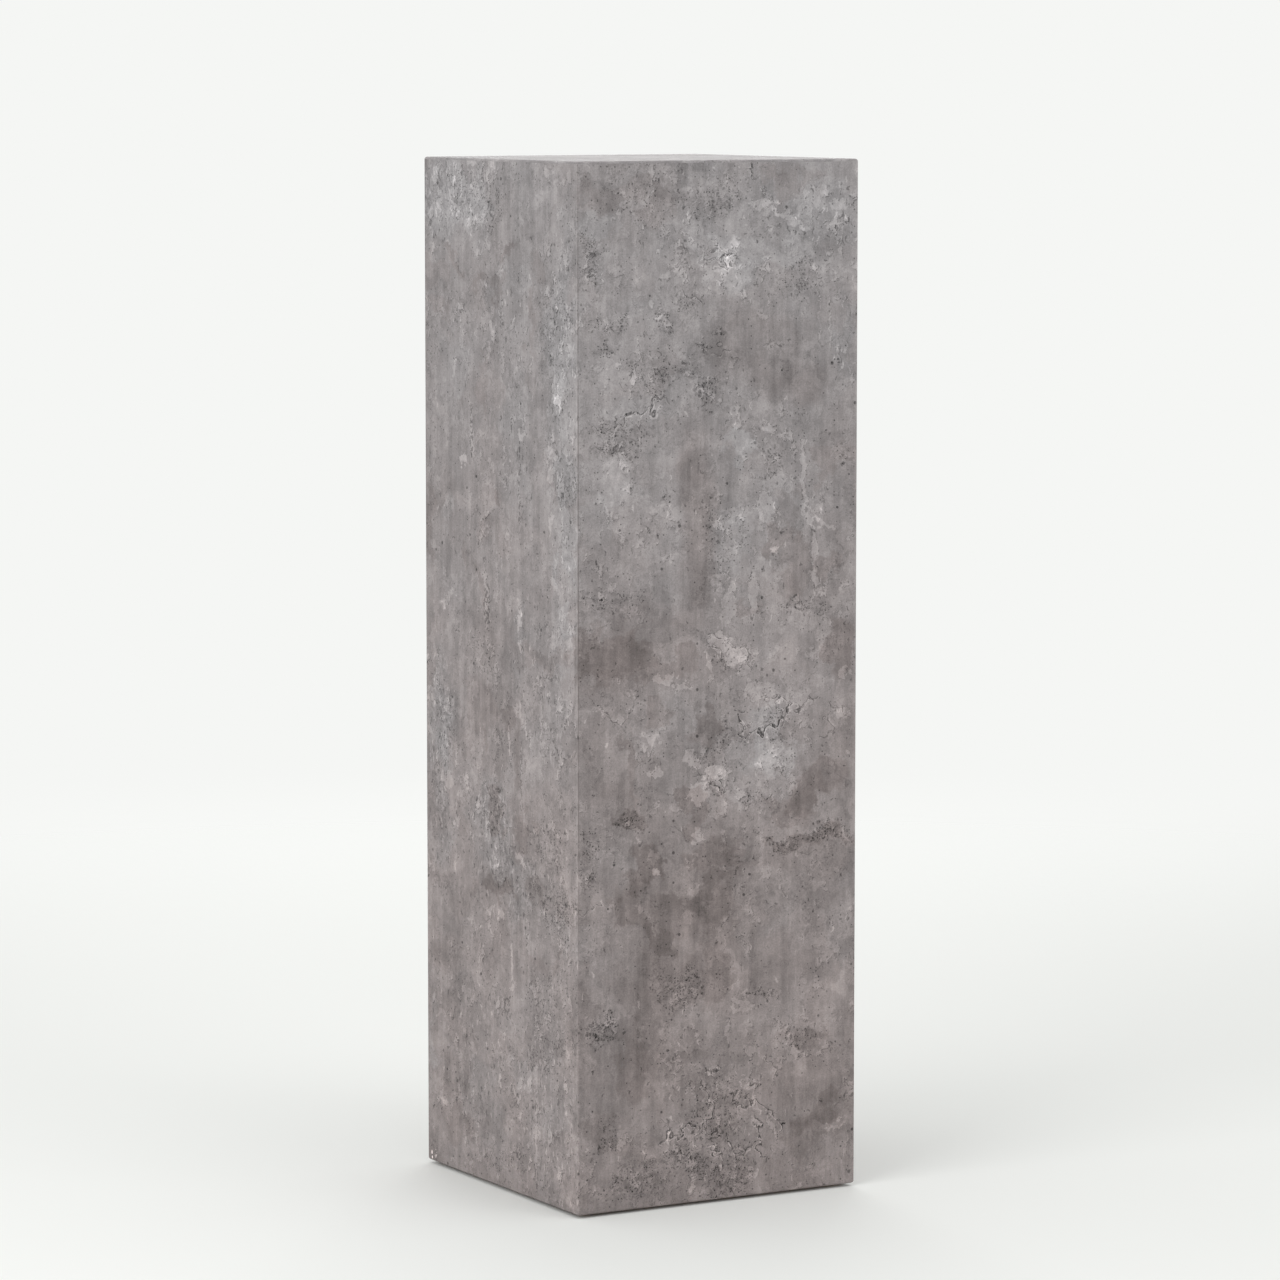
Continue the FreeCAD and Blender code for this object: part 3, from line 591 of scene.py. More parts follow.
# %% The places where the sheet is pitted
PITTED = (
    (17, 905, 13, 18, 0, 255), (34, 852, 22, 9, 0, 230), (25, 828, 11, 7, 0, 255),
    (92, 850, 5, 9, 0, 255), (120, 874, 18, 9, 0, 230), (130, 786, 20, 11, 0, 230),
    (150, 825, 11, 6, 0, 230), (128, 944, 14, 5, 0, 255), (240, 888, 26, 26, 0, 150),
    (212, 716, 9, 16, -10, 255), (96, 680, 6, 12, 0, 200), (160, 650, 26, 32, 0, 120),
    (45, 736, 34, 14, 0, 180), (90, 800, 40, 20, 0, 140), (160, 962, 22, 20, 0, 180),
    (12, 350, 16, 16, 0, 150), (10, 320, 12, 12, 0, 200), (30, 78, 20, 14, 0, 200),
    (60, 28, 40, 16, 0, 160), (118, 44, 20, 20, 0, 180), (160, 26, 34, 22, 0, 220),
    (202, 204, 26, 7, 0, 220), (240, 156, 24, 14, 0, 180), (114, 214, 34, 18, 0, 180),
    (20, 178, 20, 14, 0, 200), (270, 350, 34, 9, 0, 240), (226, 346, 13, 10, 0, 255),
    (54, 378, 14, 8, 0, 255), (225, 462, 16, 18, 0, 200), (150, 440, 26, 24, 0, 130),
    (165, 532, 24, 16, 0, 150), (200, 384, 18, 8, 0, 180), (150, 90, 40, 30, 0, 150),
    (240, 570, 12, 9, 0, 220), (262, 570, 22, 9, 0, 160), (40, 590, 30, 14, 0, 130),
    (180, 712, 12, 8, 0, 120), (295, 715, 10, 14, 0, 160), (60, 960, 60, 20, 0, 110),
    (-200, 965, 60, 26, 0, 150), (-45, 850, 34, 40, 0, 110), (-22, 690, 18, 14, 0, 180),
    (-190, 520, 30, 20, 0, 110), (-185, 645, 20, 12, 0, 120), (-60, 350, 44, 24, 0, 150),
    (-45, 295, 40, 18, 0, 160), (-160, 368, 18, 16, 0, 160), (-60, 190, 40, 34, 0, 120),
    (-60, 135, 40, 14, 0, 120), (-255, 425, 18, 14, 0, 130), (-150, 35, 40, 14, 0, 110),
    (-30, 290, 16, 40, 0, 140), (-240, 855, 12, 8, 0, 140), (-155, 440, 10, 14, 0, 130),
)
print("pitted places:", len(PITTED))

# %% [markdown]
# ## The decor sheet, step 3: what repeats everywhere
#
# Between the marks the sheet is never plain. It has the cloudiness of a cast surface, faint upright
# streaks from the trowel, small patches where the top skin has flaked off, hair cracks, pits and a
# fine grain. Each is a noise with its own size. Measured over the walls, every octave of size, from
# one millimetre to forty, carries about the same contrast, which is why the noises are rough and
# why there are several of them.
#
# Hardly anything on the sheet has a smooth outline. An ellipse or a noise is read at a place that
# another noise has pushed aside, and the size and reach of that push say what the outline is like:
# long lobes for a cloud, crumbs for a flake, and a wandering line for a crack, which is pushed
# twice.

# %% Shaken places
# The noise that shakes an outline: its size and its reach in millimetres, and its detail
SHAKES = {"loose": (40, 78, 6.0), "tight": (10, 12, 4.0), "ragged": (12, 27, 4.0),
          "calm": (70, 45, 3.0), "torn": (30, 42, 2.0)}
TORN_AGAIN = (7, 15, 3.0)
SHAKE_ROUGHNESS = 0.62
UPRIGHT = 0.3
CHIP_SHIFT = (3.1, 5.7)
# How far the chips' painted shadow lies off the chips: a dark rim on their lower right side, as if
# they stood proud under light from the upper left
CHIP_SHADOW_SHIFT = (0.6 * MM, 0.9 * MM)
STROKE_SHIFT = (0.37, 0.11, 0.0)


def shaken(w, place, size, reach, detail):
    """A place pushed about by a noise, which makes every outline drawn with it ragged."""
    push = w.noise(place, size * MM, detail, SHAKE_ROUGHNESS, "Color")
    push = w.vector("SUBTRACT", push, (0.5, 0.5, 0.5))
    return w.vector("MULTIPLY_ADD", push, (reach * MM, reach * MM, 0.0), place)


def shaken_places(w, place):
    """One place on the sheet in all the ways that the patterns read it."""
    places = {name: shaken(w, place, *shake) for name, shake in SHAKES.items()}
    places["torn"] = shaken(w, places["torn"], *TORN_AGAIN)
    places["still"] = place
    places["chips"] = w.vector("ADD", places["tight"], (*CHIP_SHIFT, 0.0))
    # The chips read again a little further on; where this second read is inked and the first is not
    # lies the chips' painted shadow
    places["chip shadow place"] = w.vector("ADD", places["tight"], (
        CHIP_SHIFT[0] - CHIP_SHADOW_SHIFT[0], CHIP_SHIFT[1] + CHIP_SHADOW_SHIFT[1], 0.0))
    places["upright"] = w.stretch(places["tight"], 1.0, UPRIGHT)
    places["aside"] = w.vector("ADD", places["upright"], STROKE_SHIFT)
    return places


print("ways to shake a place:", len(SHAKES))

# %% [markdown]
# A pit is a small dark hole. Noises don't make separate dots, so the pits come from a cell pattern,
# which gives every cell a middle and a colour of its own. The colour's first part is the cell's
# luck, which says whether there is a hole at all, and the second is the hole's size. Drawn out
# upright, the same holes become the short strokes of a dry brush.

# %% Pits
PIT_LEAST = 0.12
PIT_SPREAD = 0.22


def make_pits_group():
    """Small dark holes; Density is the share of the places that have one."""
    w, given, made = new_group("pits", {"Place": ORIGIN, "Spacing": 0.004, "Density": 0.5},
                               {"Hole": FLOAT})
    scaled = w.scale(given["Place"], w.calc("DIVIDE", 1.0, given["Spacing"]))
    cell = w.add("ShaderNodeTexVoronoi", {"Vector": scaled, "Scale": 1.0},
                 voronoi_dimensions="2D").node.outputs
    luck, size = w.split(cell["Color"])[:2]
    there = w.calc("LESS_THAN", luck, given["Density"])
    radius = w.times_plus(size, PIT_SPREAD, PIT_LEAST)
    depth = w.minus(1.0, w.calc("DIVIDE", cell["Distance"], radius))
    depth = w.calc("MAXIMUM", depth, 0.0)
    w.join(made["Hole"], w.times(w.rise(depth, 0.0, 0.4), there))
    return w.tree


pits_group = make_pits_group()

# %% [markdown]
# The lists above cover two walls. The other two take the same marks turned upside down, over noises
# that are their own, so that no side of the column is plainer than another. A crack gets a paler
# twin just under it, because the light comes from above and catches its lower edge.

# %% The listed marks on all four walls
# How wide each kind of mark fades: 0 is a crisp rim, 1 fades from the middle
RIMS = {"soft cloud": 0.95, "cloud": 0.38, "broad flake": 0.18, "tall flake": 0.5, "crack": 0.7,
        "nick": 0.4, "area": 0.8}
DEEP_CRACK = -18
TWIN_SHIFT = 1.7
TWIN_THIN = 0.8
TWIN_SHARE = 0.55
TALL = 3


def light_sides(cracks):
    """A crack's lower edge catches the light: a paler twin just below each of the deeper ones."""
    twins = []
    for across, up, half_wide, half_high, tilt, steps in cracks:
        if steps <= DEEP_CRACK:
            angle = math.radians(tilt)
            twins.append((across + TWIN_SHIFT * math.sin(angle), up - TWIN_SHIFT * math.cos(angle),
                          half_wide, TWIN_THIN * half_high, tilt, -TWIN_SHARE * steps))
    return tuple(twins)


def listed_marks(w, places):
    """Every list of marks as one mask."""
    # Past the second wall the marks count back from the sheet's end, and down from one metre.
    second_half = w.calc("GREATER_THAN", w.split(places["still"])[0], WIDTH)
    facing = w.times_plus(second_half, -2.0, 1.0)
    facing = w.combine(facing, facing)
    start = w.combine(w.times(second_half, 2 * WIDTH), second_half)

    def marks(where, listed, rim, level=0.0):
        turned = w.vector("MULTIPLY_ADD", places[where], facing, start)
        return add_marks(w, turned, listed, RIMS[rim], level)

    tall = [mark for mark in FLAKES if mark[3] > TALL * mark[2]]
    broad = [mark for mark in FLAKES if mark not in tall]
    clouds = marks("calm", SOFT_CLOUDS, "soft cloud")
    flakes = marks("ragged", broad, "broad flake")
    return {
        "clouds": marks("loose", CLOUDS, "cloud", clouds),
        "flakes": marks("tight", tall, "tall flake", flakes),
        "cracks": marks("torn", CRACKS + light_sides(CRACKS), "crack"),
        "nicks": add_marks(w, places["still"], NICKS, RIMS["nick"]),
        "chalky": w.calc("MINIMUM", marks("loose", CHALKY, "area"), 1.0),
        "pitted": w.between(marks("loose", PITTED, "area"), 0.0, 1.0)}


print("paler twins:", len(light_sides(CRACKS)))

# %% [markdown]
# The noises are one table, so that they can be compared and tuned side by side. Some are printed as
# they are and push the tone both ways. Others are cut: all that lies above a level is inked, which
# gives chips, blotches and flaked skin. Where a noise passes through its middle value it draws a
# thin line, and that makes the hair cracks and veins.

# %% The noises
# The place that each one reads, how far it is drawn out upright, its largest size in millimetres,
# its detail and its roughness
NOISES = {
    "patchy": ("loose", 0.8, 70, 3.0, 0.6), "haze": ("loose", 0.75, 90, 3.0, 0.6),
    "mottle": ("tight", 1.0, 26, 7.0, 0.8), "dapple": ("tight", 1.0, 6, 4.0, 0.75),
    "streaks": ("still", 0.09, 14, 4.0, 0.7), "combed": ("tight", 0.3, 5, 3.0, 0.7),
    "grain": ("still", 1.0, 1.6, 2.0, 0.8), "skin": ("loose", 1.0, 38, 6.0, 0.62),
    "chip": ("chips", 0.7, 16, 6.0, 0.7), "chip shadow": ("chip shadow place", 0.7, 16, 6.0, 0.7),
    "thread": ("torn", 1.0, 15, 4.0, 0.7), "vein": ("torn", 1.0, 55, 4.0, 0.6),
    "gaps": ("still", 1.0, 4, 2.0, 0.6), "blotch": ("tight", 1.0, 7, 3.0, 0.7),
    "chalk": ("tight", 0.4, 8, 5.0, 0.75), "tone": ("loose", 1.0, 70, 2.0, 0.5)}

# The place and the spacing in millimetres of each kind of hole
HOLES = {"pits": ("tight", 5.2), "specks": ("still", 3.1), "holes": ("still", 6.5),
         "dashes": ("upright", 3.6), "strokes": ("aside", 4.4)}


def draw_noises(w, places):
    drawn = {}
    for name, (where, upright, size, detail, rough) in NOISES.items():
        place = places[where]
        if upright != 1.0:
            place = w.stretch(place, 1.0, upright)
        drawn[name] = w.noise(place, size * MM, detail, rough)
    return drawn


print("noises:", len(NOISES))

# %% Where each ink prints
# The level at which each cut noise starts to print, and the one at which it prints in full
CUTS = {"skin": (0.545, 0.565), "blotch": (0.54, 0.60), "chalk": (0.50, 0.58),
        "chip": (0.585, 0.615), "chip shadow": (0.585, 0.615)}
THREAD_WIDTH = (0.002, 0.020)
VEIN_WIDTH = (0.0, 0.012)
OUTLINE_STARTS = (0.002, 0.010)
OUTLINE_ENDS = (0.014, 0.03)

# The share of places with a hole: everywhere, more on rough skin, more where pitted or chalky
PIT_SHARE = (0.01, 0.09, 0.42)
DASH_SHARE = (0.005, 0.03, 0.38)
HOLE_SHARE = 0.008


def ink_masks(w, places, marks, drawn, rough):
    """The areas of the print's small features, and of the painted shadow at the chips' rims, each
    from 0 to 1.
    """
    pitted, chalky, flakes = marks["pitted"], marks["chalky"], marks["flakes"]
    gaps = drawn["gaps"]
    cut = {name: w.rise(drawn[name], *levels) for name, levels in CUTS.items()}
    thread = w.rise(w.off_half(drawn["thread"]), *THREAD_WIDTH, 1.0, 0.0)
    thread = w.times(thread, w.rise(gaps, 0.42, 0.58, 0.0, 1.3))
    vein = w.rise(w.off_half(drawn["vein"]), *VEIN_WIDTH, 1.0, 0.0)
    outline = w.times(w.rise(flakes, *OUTLINE_STARTS), w.rise(flakes, *OUTLINE_ENDS, 1.0, 0.0))
    masks = {
        "flaked": cut["skin"],
        "vein": w.times(vein, w.rise(gaps, 0.40, 0.58)),
        "thread": w.times(thread, pitted),
        "blotch": w.times(cut["blotch"], w.rise(pitted, 0.25, 0.85)),
        "chalk": w.times(cut["chalk"], chalky),
        "outline": w.times(outline, w.rise(gaps, 0.44, 0.58)),
        "chip": cut["chip"],
        # Painted shadow: the chip moved a little down and to the right, less the chip itself
        "chip shadow": w.calc("MAXIMUM", w.minus(cut["chip shadow"], cut["chip"]), 0.0)}

    def share(everywhere, on_rough, on_marked, marked):
        return w.times_plus(marked, on_marked, w.times_plus(rough, on_rough, everywhere))

    pit_share = share(*PIT_SHARE, pitted)
    dash_share = share(*DASH_SHARE, chalky)
    shares = {"pits": pit_share, "specks": pit_share, "holes": HOLE_SHARE,
              "dashes": dash_share, "strokes": dash_share}
    for name, (where, spacing) in HOLES.items():
        masks[name] = w.group(pits_group, {"Place": places[where], "Spacing": spacing * MM,
                                           "Density": shares[name]})
    return masks


print("inks from cut noises:", len(CUTS), "and from holes:", len(HOLES))

# %% [markdown]
# Now everything is laid over everything else. The tone is a sum, reckoned in the 255 steps of a
# picture: a slope from the darker foot to the paler top, plus each mark and noise with its own
# strength. Rough skin takes the chips and the comb marks, and smooth skin the trowel's streaks. The
# sum is a tone as the eye sees it, so a gamma turns it into the plain numbers that light works
# with. A warm and a cool grey are mixed by height, and a dark cloud makes the mix browner.

# %% The printed pattern
TOP_LEVEL = 144.0
BOTTOM_LEVEL = 133.0
CLOUD_GAIN = 1.2
FLAKE_GAIN = 2.1
CRACK_GAIN = 2.1
ROUGH_LEAST = 0.10
SMOOTH_MOST = 1.3
WARMTH_AT_FOOT = 0.85
WARMTH_AT_TOP = 0.05
CLOUD_WARMTH = -8.0
CHALK_WARMTH = -0.35
COOL_TINT = (1.013, 0.991, 0.999, 1.0)
WARM_TINT = (1.054, 0.978, 0.966, 1.0)
PRINT_GAMMA = 2.2

# How far a noise pushes the tone both ways, in steps of 255
PUSHES = {"haze": 44, "mottle": 56, "streaks": 46, "combed": 25, "grain": 34}
WORN_PUSHES = {"mottle": 30, "dapple": 36}

# How much paler, or darker where negative, an ink prints, in steps of 255
INKS = {"flaked": 9, "vein": -20, "thread": -56, "blotch": -20, "pits": -34, "specks": -52,
        "dashes": -34, "strokes": 27, "chalk": 14, "outline": -44, "holes": -50}
# Chips are paler skin; the dark rim beside each is painted shadow, not ink or wear
WORN_INKS_AND_SHADOW = {"chip": 24, "chip shadow": -46}


def make_concrete_group():
    """Colour, roughness and height of the print, with painted shadows at the chips' rims and painted
    highlights under the cracks, from a place on the flat sheet.
    """
    w, given, made = new_group("printed_concrete", {"Place": ORIGIN, "Height": 1.0},
                               {"Colour": COLOUR, "Roughness": FLOAT, "Relief": FLOAT})
    places = shaken_places(w, given["Place"])
    marks = listed_marks(w, places)
    drawn = draw_noises(w, places)
    clouds, chalky = marks["clouds"], marks["chalky"]

    # Where the sheet is rough, and where it is smooth
    rough = w.total(marks["pitted"], w.rise(drawn["patchy"], 0.40, 0.62, 0.15, 0.75))
    rough = w.times_plus(clouds, 8.0, w.times_plus(chalky, 0.5, rough))
    rough = w.between(rough, ROUGH_LEAST, 1.0)
    smooth = w.minus(SMOOTH_MOST, rough)
    masks = ink_masks(w, places, marks, drawn, rough)

    def push(pushes):
        return {name: w.around_half(drawn[name], steps / 255) for name, steps in pushes.items()}

    def ink(inks):
        return [w.times(masks[name], steps / 255) for name, steps in inks.items()]

    # How pale it is
    slope = w.rise(given["Height"], 0.0, 1.0, BOTTOM_LEVEL / 255, TOP_LEVEL / 255)
    worn = w.total(*push(WORN_PUSHES).values(), *ink(WORN_INKS_AND_SHADOW))
    cracks = w.times(marks["cracks"], w.rise(drawn["gaps"], 0.34, 0.54, 0.5, 1.1))
    pushed = push(PUSHES)
    pushed["streaks"] = w.times(pushed["streaks"], smooth)
    pushed["combed"] = w.times(pushed["combed"], rough)
    level = w.total(
        slope, w.times(clouds, CLOUD_GAIN), w.times(marks["flakes"], FLAKE_GAIN),
        w.times(cracks, CRACK_GAIN), w.times(worn, rough), *pushed.values(), *ink(INKS),
        marks["nicks"])

    # How warm it is
    warmth = w.rise(given["Height"], 0.0, 1.1, WARMTH_AT_FOOT, WARMTH_AT_TOP)
    warmth = w.times_plus(chalky, CHALK_WARMTH, warmth)
    warmth = w.times_plus(clouds, CLOUD_WARMTH, warmth)
    warmth = w.total(warmth, w.around_half(drawn["tone"], 0.6))
    tint = w.mix(w.rise(warmth, -0.4, 1.4), COOL_TINT, WARM_TINT)
    w.join(made["Colour"], w.add("ShaderNodeGamma", {0: w.scale(tint, level), 1: PRINT_GAMMA}))
    w.join(made["Roughness"], w.total(w.around_half(drawn["mottle"], 0.2), 0.60))
    w.join(made["Relief"], w.times_plus(drawn["dapple"], 0.5, drawn["grain"]))
    return w.tree


printed_concrete = make_concrete_group()
print("nodes in the printed pattern:", len(printed_concrete.nodes))

# %% [markdown]
# ## The decor sheet, step 4: two materials from one print
#
# The wrap reads the print through the unrolled place. The top is a second cut of the same sheet,
# laid flat, so it reads the print well past the end of the wrap, with the strips that are folded
# down over the rim opened out. Along the upright folds the wrap is scored and bent, and there
# light is painted into its colour: a fine dark line of painted shade just past the arris, where the
# bent sheet turns away from the lamps, with a pale band of painted highlight before it, where the
# rounded arris catches them. Both are strongest half way up and fade out towards the foot.

# %% Decor materials
# Painted light along the upright folds: a fine dark line of painted shade and a pale band of painted
# highlight
FOLD_SHADE_AT = 0.9 * MM
FOLD_SHADE_HALF = 0.9 * MM
FOLD_SHADE_SHARE = 0.62
FOLD_SHADE_COLOUR = seen_colour(84, 78, 75)
FOLD_HIGHLIGHT_WIDTH = 3.0 * MM
FOLD_HIGHLIGHT_SHARE = 0.10
FOLD_HIGHLIGHT_COLOUR = seen_colour(222, 218, 216)
FOLD_LIGHT_COMES = (0.10, 0.50)
FOLD_LIGHT_GOES = (0.72, 0.98)
FOLD_LIGHT_AT_TOP = 0.6
RELIEF_DEPTH = 0.05 * MM
DECOR_SPECULAR = 0.2
TOP_CUT = (2.1, 1.4, 0.0)


def finish_decor(w, shader, printed, colour):
    shader.inputs["Specular IOR Level"].default_value = DECOR_SPECULAR
    finish(w, shader, colour, printed["Roughness"], printed["Relief"], 0.5, RELIEF_DEPTH)


def make_wrap_material():
    material, w, shader = new_material("concrete_decor_wrap")
    point = object_point(w)
    sheet = w.group(unrolled_sheet, {"Point": point}, None)
    height = w.split(point)[2]
    past_fold = w.calc("FLOORED_MODULO", w.total(sheet["Along"], HALF), WIDTH)
    past_fold = w.minus(past_fold, HALF)
    from_fold_shade = w.size_of(w.minus(past_fold, FOLD_SHADE_AT))
    from_fold_highlight = w.size_of(w.total(past_fold, FOLD_HIGHLIGHT_WIDTH / 2))
    uneven = w.noise(sheet["Place"], 60 * MM, 3.0, 0.7)
    # How strong the painted shade and painted highlight at the folds are: most half way up, less at
    # the top, none at the foot
    fold_light = w.times(w.rise(height, *FOLD_LIGHT_COMES), w.rise(height, *FOLD_LIGHT_GOES, 1.0, FOLD_LIGHT_AT_TOP))
    fold_light = w.times(fold_light, w.rise(uneven, 0.35, 0.6, 0.35, 1.0))
    fold_shade = w.times(w.rise(from_fold_shade, 0.0, FOLD_SHADE_HALF, FOLD_SHADE_SHARE, 0.0), fold_light)
    fold_highlight = w.times(w.rise(from_fold_highlight, 0.0, FOLD_HIGHLIGHT_WIDTH / 2, FOLD_HIGHLIGHT_SHARE, 0.0), fold_light)
    printed = w.group(printed_concrete, {"Place": sheet["Place"], "Height": height}, None)
    colour = w.mix(fold_highlight, printed["Colour"], FOLD_HIGHLIGHT_COLOUR)
    finish_decor(w, shader, printed, w.mix(fold_shade, colour, FOLD_SHADE_COLOUR))
    return material


def make_top_material():
    material, w, shader = new_material("concrete_decor_top")
    x, y, z = w.split(object_point(w))
    opened = w.times_plus(w.minus(cad_box[1].z, z), 1 / HALF, 1.0)
    flat = w.combine(w.times(x, opened), w.times(y, opened))
    place = w.vector("ADD", flat, TOP_CUT)
    printed = w.group(printed_concrete, {"Place": place, "Height": 1.0}, None)
    finish_decor(w, shader, printed, printed["Colour"])
    return material


def dress(name, material):
    """Give a CAD node its material."""
    mesh = nodes[name].data
    mesh.materials.clear()
    mesh.materials.append(material)


dress("decor_wrap", make_wrap_material())
dress("top_decor", make_top_material())
print("crease past the fold:", round(FOLD_SHADE_AT / MM, 1), "mm")

# %% [markdown]
# ## Raw fibreboard
#
# Walls, top, base and the two housed plates are cut from medium-density fibreboard. It is a felt
# of wood dust: warm tan, dull, with short dark fibres that lie in every direction. One noise
# stretched along each axis in turn gives such fibres on every face, whichever way a board stands.
# The base board is the only one that is handled, so its rim is rubbed paler and its face is
# scuffed; that is a mask from the distance to the middle, because a board's rim is where it is
# knocked.

# %% Fibreboard
FIBRE_STRETCH = 0.18
FINE_FLECKS = 900.0
COARSE_FLECKS = 330.0
RIM_WORN = (-1 * MM, 3 * MM)
BOARD_PALE = seen_colour(190, 163, 128)
BOARD_DEEP = seen_colour(163, 134, 100)
BOARD_FIBRE = seen_colour(112, 86, 60)
BOARD_RUBBED = seen_colour(206, 186, 156)


def make_flecks_group():
    """Short fibres that lie along all three axes."""
    w, given, made = new_group("fibre_flecks", {"Point": ORIGIN, "Scale": FINE_FLECKS},
                               {"Flecks": FLOAT})
    flecks = 0.0
    for axis in range(3):
        stretch = [FIBRE_STRETCH if axis == other else 1.0 for other in range(3)]
        layer = w.add("ShaderNodeTexNoise", {
            "Vector": w.stretch(given["Point"], *stretch), "Scale": given["Scale"],
            "Detail": 2.0, "Roughness": 0.7}, noise_dimensions="3D")
        flecks = w.calc("MAXIMUM", flecks, w.rise(layer, 0.58, 0.72))
    w.join(made["Flecks"], flecks)
    return w.tree


fibre_flecks = make_flecks_group()


def make_board_material(name, rim=None):
    """Raw board; with a rim, the distance from the middle to it, also a rubbed rim and scuffs."""
    material, w, shader = new_material(name)
    point = object_point(w)
    aside = w.vector("ADD", point, (0.31, 0.17, 0.05))
    fine = w.group(fibre_flecks, {"Point": point, "Scale": FINE_FLECKS})
    coarse = w.group(fibre_flecks, {"Point": aside, "Scale": COARSE_FLECKS})
    cloudy = w.noise(point, 60 * MM, 4.0, 0.6, flat=False)
    dust = w.noise(point, 0.7 * MM, 2.0, 0.7, flat=False)
    colour = w.mix(w.rise(cloudy, 0.3, 0.7), BOARD_DEEP, BOARD_PALE)
    colour = w.mix(w.times(fine, 0.45), colour, BOARD_FIBRE)
    colour = w.mix(w.times(coarse, 0.30), colour, BOARD_FIBRE)
    colour = w.mix(w.rise(dust, 0.5, 0.75, 0.0, 0.35), colour, BOARD_PALE)
    roughness = w.times_plus(dust, 0.16, 0.74)
    if rim is not None:
        x, y = w.split(point)[:2]
        out = w.calc("MAXIMUM", w.size_of(x), w.size_of(y))
        rubbed = w.rise(w.times_plus(cloudy, 6 * MM, out), rim + RIM_WORN[0], rim + RIM_WORN[1])
        scuffs = w.rise(w.noise(w.stretch(point, 0.12, 1.0), 9 * MM, 5.0, 0.8), 0.60, 0.66)
        colour = w.mix(w.times(rubbed, 0.7), colour, BOARD_RUBBED)
        colour = w.mix(w.times(scuffs, 0.5), colour, BOARD_RUBBED)
        roughness = w.times_plus(rubbed, -0.2, roughness)
    shader.inputs["Specular IOR Level"].default_value = 0.3
    finish(w, shader, colour, roughness, w.total(dust, fine), 0.6, 0.08 * MM)
    return material


raw_board = make_board_material("raw_fibreboard")
base_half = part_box("base_panel")[1][0]
base_board = make_board_material("rubbed_fibreboard", rim=base_half)
for name in ("front_panel", "right_panel", "back_panel", "left_panel", "top_panel",
             "lower_stiffener", "upper_stiffener"):
    dress(name, raw_board)
dress("base_panel", base_board)
print("base board, half a side:", round(base_half, 4), "m")

# %% [markdown]
# ## Plywood tongues
#
# The mitres are held by loose tongues, strips of thin plywood that sit square to the mitre in two
# grooves. Three plies show on their edges: pale, a darker core whose grain runs across, pale. To
# draw the plies, a point needs its distance through the strip. The strips lie on the diagonals of
# the plan, or of the section for the ones under the top, so adding two distances from the middle
# and dividing by the root of two gives that distance for all four corners at once.

# %% Plywood
TONGUE_THICK = 4 * MM
TONGUE_INSET = 7 * MM
PLY_PALE = seen_colour(214, 184, 142)
PLY_DEEP = seen_colour(188, 152, 108)
PLY_CORE = seen_colour(150, 110, 74)
PLY_GLUE = seen_colour(84, 58, 38)
PLY_HALF = TONGUE_THICK / 6
GLUE_HALF = 0.05 * MM
GLUE_FADE = 0.12 * MM
INSIDE_FACE = -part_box("front_cleat")[0][1]
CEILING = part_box("top_panel")[0][2]
SIDES = ("front", "right", "back", "left")
CORNERS = ("front_right", "back_right", "back_left", "front_left")


def make_tongue_material(name, upright, middle):
    """Three plies; middle is where the middle of the strip lies on its diagonal."""
    material, w, shader = new_material(name)
    x, y, z = w.split(object_point(w))
    far_x, far_y = w.size_of(x), w.size_of(y)
    if upright:
        outward, second, along = far_x, far_y, z
    else:
        outward, second = w.calc("MAXIMUM", far_x, far_y), z
        along = w.choose(w.calc("GREATER_THAN", far_x, far_y), x, y)
    through = w.times_plus(w.total(outward, second), math.sqrt(0.5), -middle)
    depth = w.size_of(through)
    across = w.minus(outward, second)
    grain = w.noise(w.combine(across, w.times(along, 0.04)), 1.4 * MM, 4.0, 0.7)
    pores = w.noise(w.combine(along, across, through), 0.5 * MM, 2.0, 0.6, flat=False)
    core = w.rise(depth, PLY_HALF + GLUE_HALF, PLY_HALF - GLUE_HALF)
    glue = w.rise(w.size_of(w.minus(depth, PLY_HALF)), GLUE_HALF, GLUE_FADE, 0.8, 0.0)
    colour = w.mix(w.rise(grain, 0.35, 0.65), PLY_PALE, PLY_DEEP)
    core_colour = w.mix(w.rise(pores, 0.4, 0.6), PLY_CORE, PLY_DEEP)
    colour = w.mix(glue, w.mix(core, colour, core_colour), PLY_GLUE)
    finish(w, shader, colour, w.times_plus(grain, 0.2, 0.6), w.total(grain, pores), 0.5, 0.06 * MM)
    return material


upright_ply = make_tongue_material(
    "tongue_plywood_upright", True, math.sqrt(2) * INSIDE_FACE + TONGUE_INSET)
level_ply = make_tongue_material(
    "tongue_plywood_level", False, math.sqrt(0.5) * (INSIDE_FACE + CEILING) + TONGUE_INSET)
for corner in CORNERS:
    dress("corner_tongue_" + corner, upright_ply)
for side in SIDES:
    dress("top_tongue_" + side, level_ply)
print("inside face at", round(INSIDE_FACE, 4), "m, ceiling at", round(CEILING, 4), "m")

# %% [markdown]
# ## Softwood cleats
#
# The base board is screwed to four sawn battens of pine. Pine shows rings: on the end of a batten
# they are arcs, and along it they run out into long flames. Both come from one idea. The distance
# from a line that stands for the tree's heart, bent a little by a noise that is stretched along
# the grain, gives the ring that a point belongs to. Every ring is pale in spring and goes over
# slowly into a narrow dark band. Two battens run across the column and two run front to back, so
# there are two materials with the grain turned.

# %% Softwood
PINE_SPRING = seen_colour(226, 199, 156)
PINE_SUMMER = seen_colour(192, 146, 94)
PINE_PORE = seen_colour(160, 116, 72)
RING_WIDTH = 2.6 * MM
HEART_BELOW = 34 * MM
HEART_OUT = 115 * MM
RING_BEND = 9 * MM


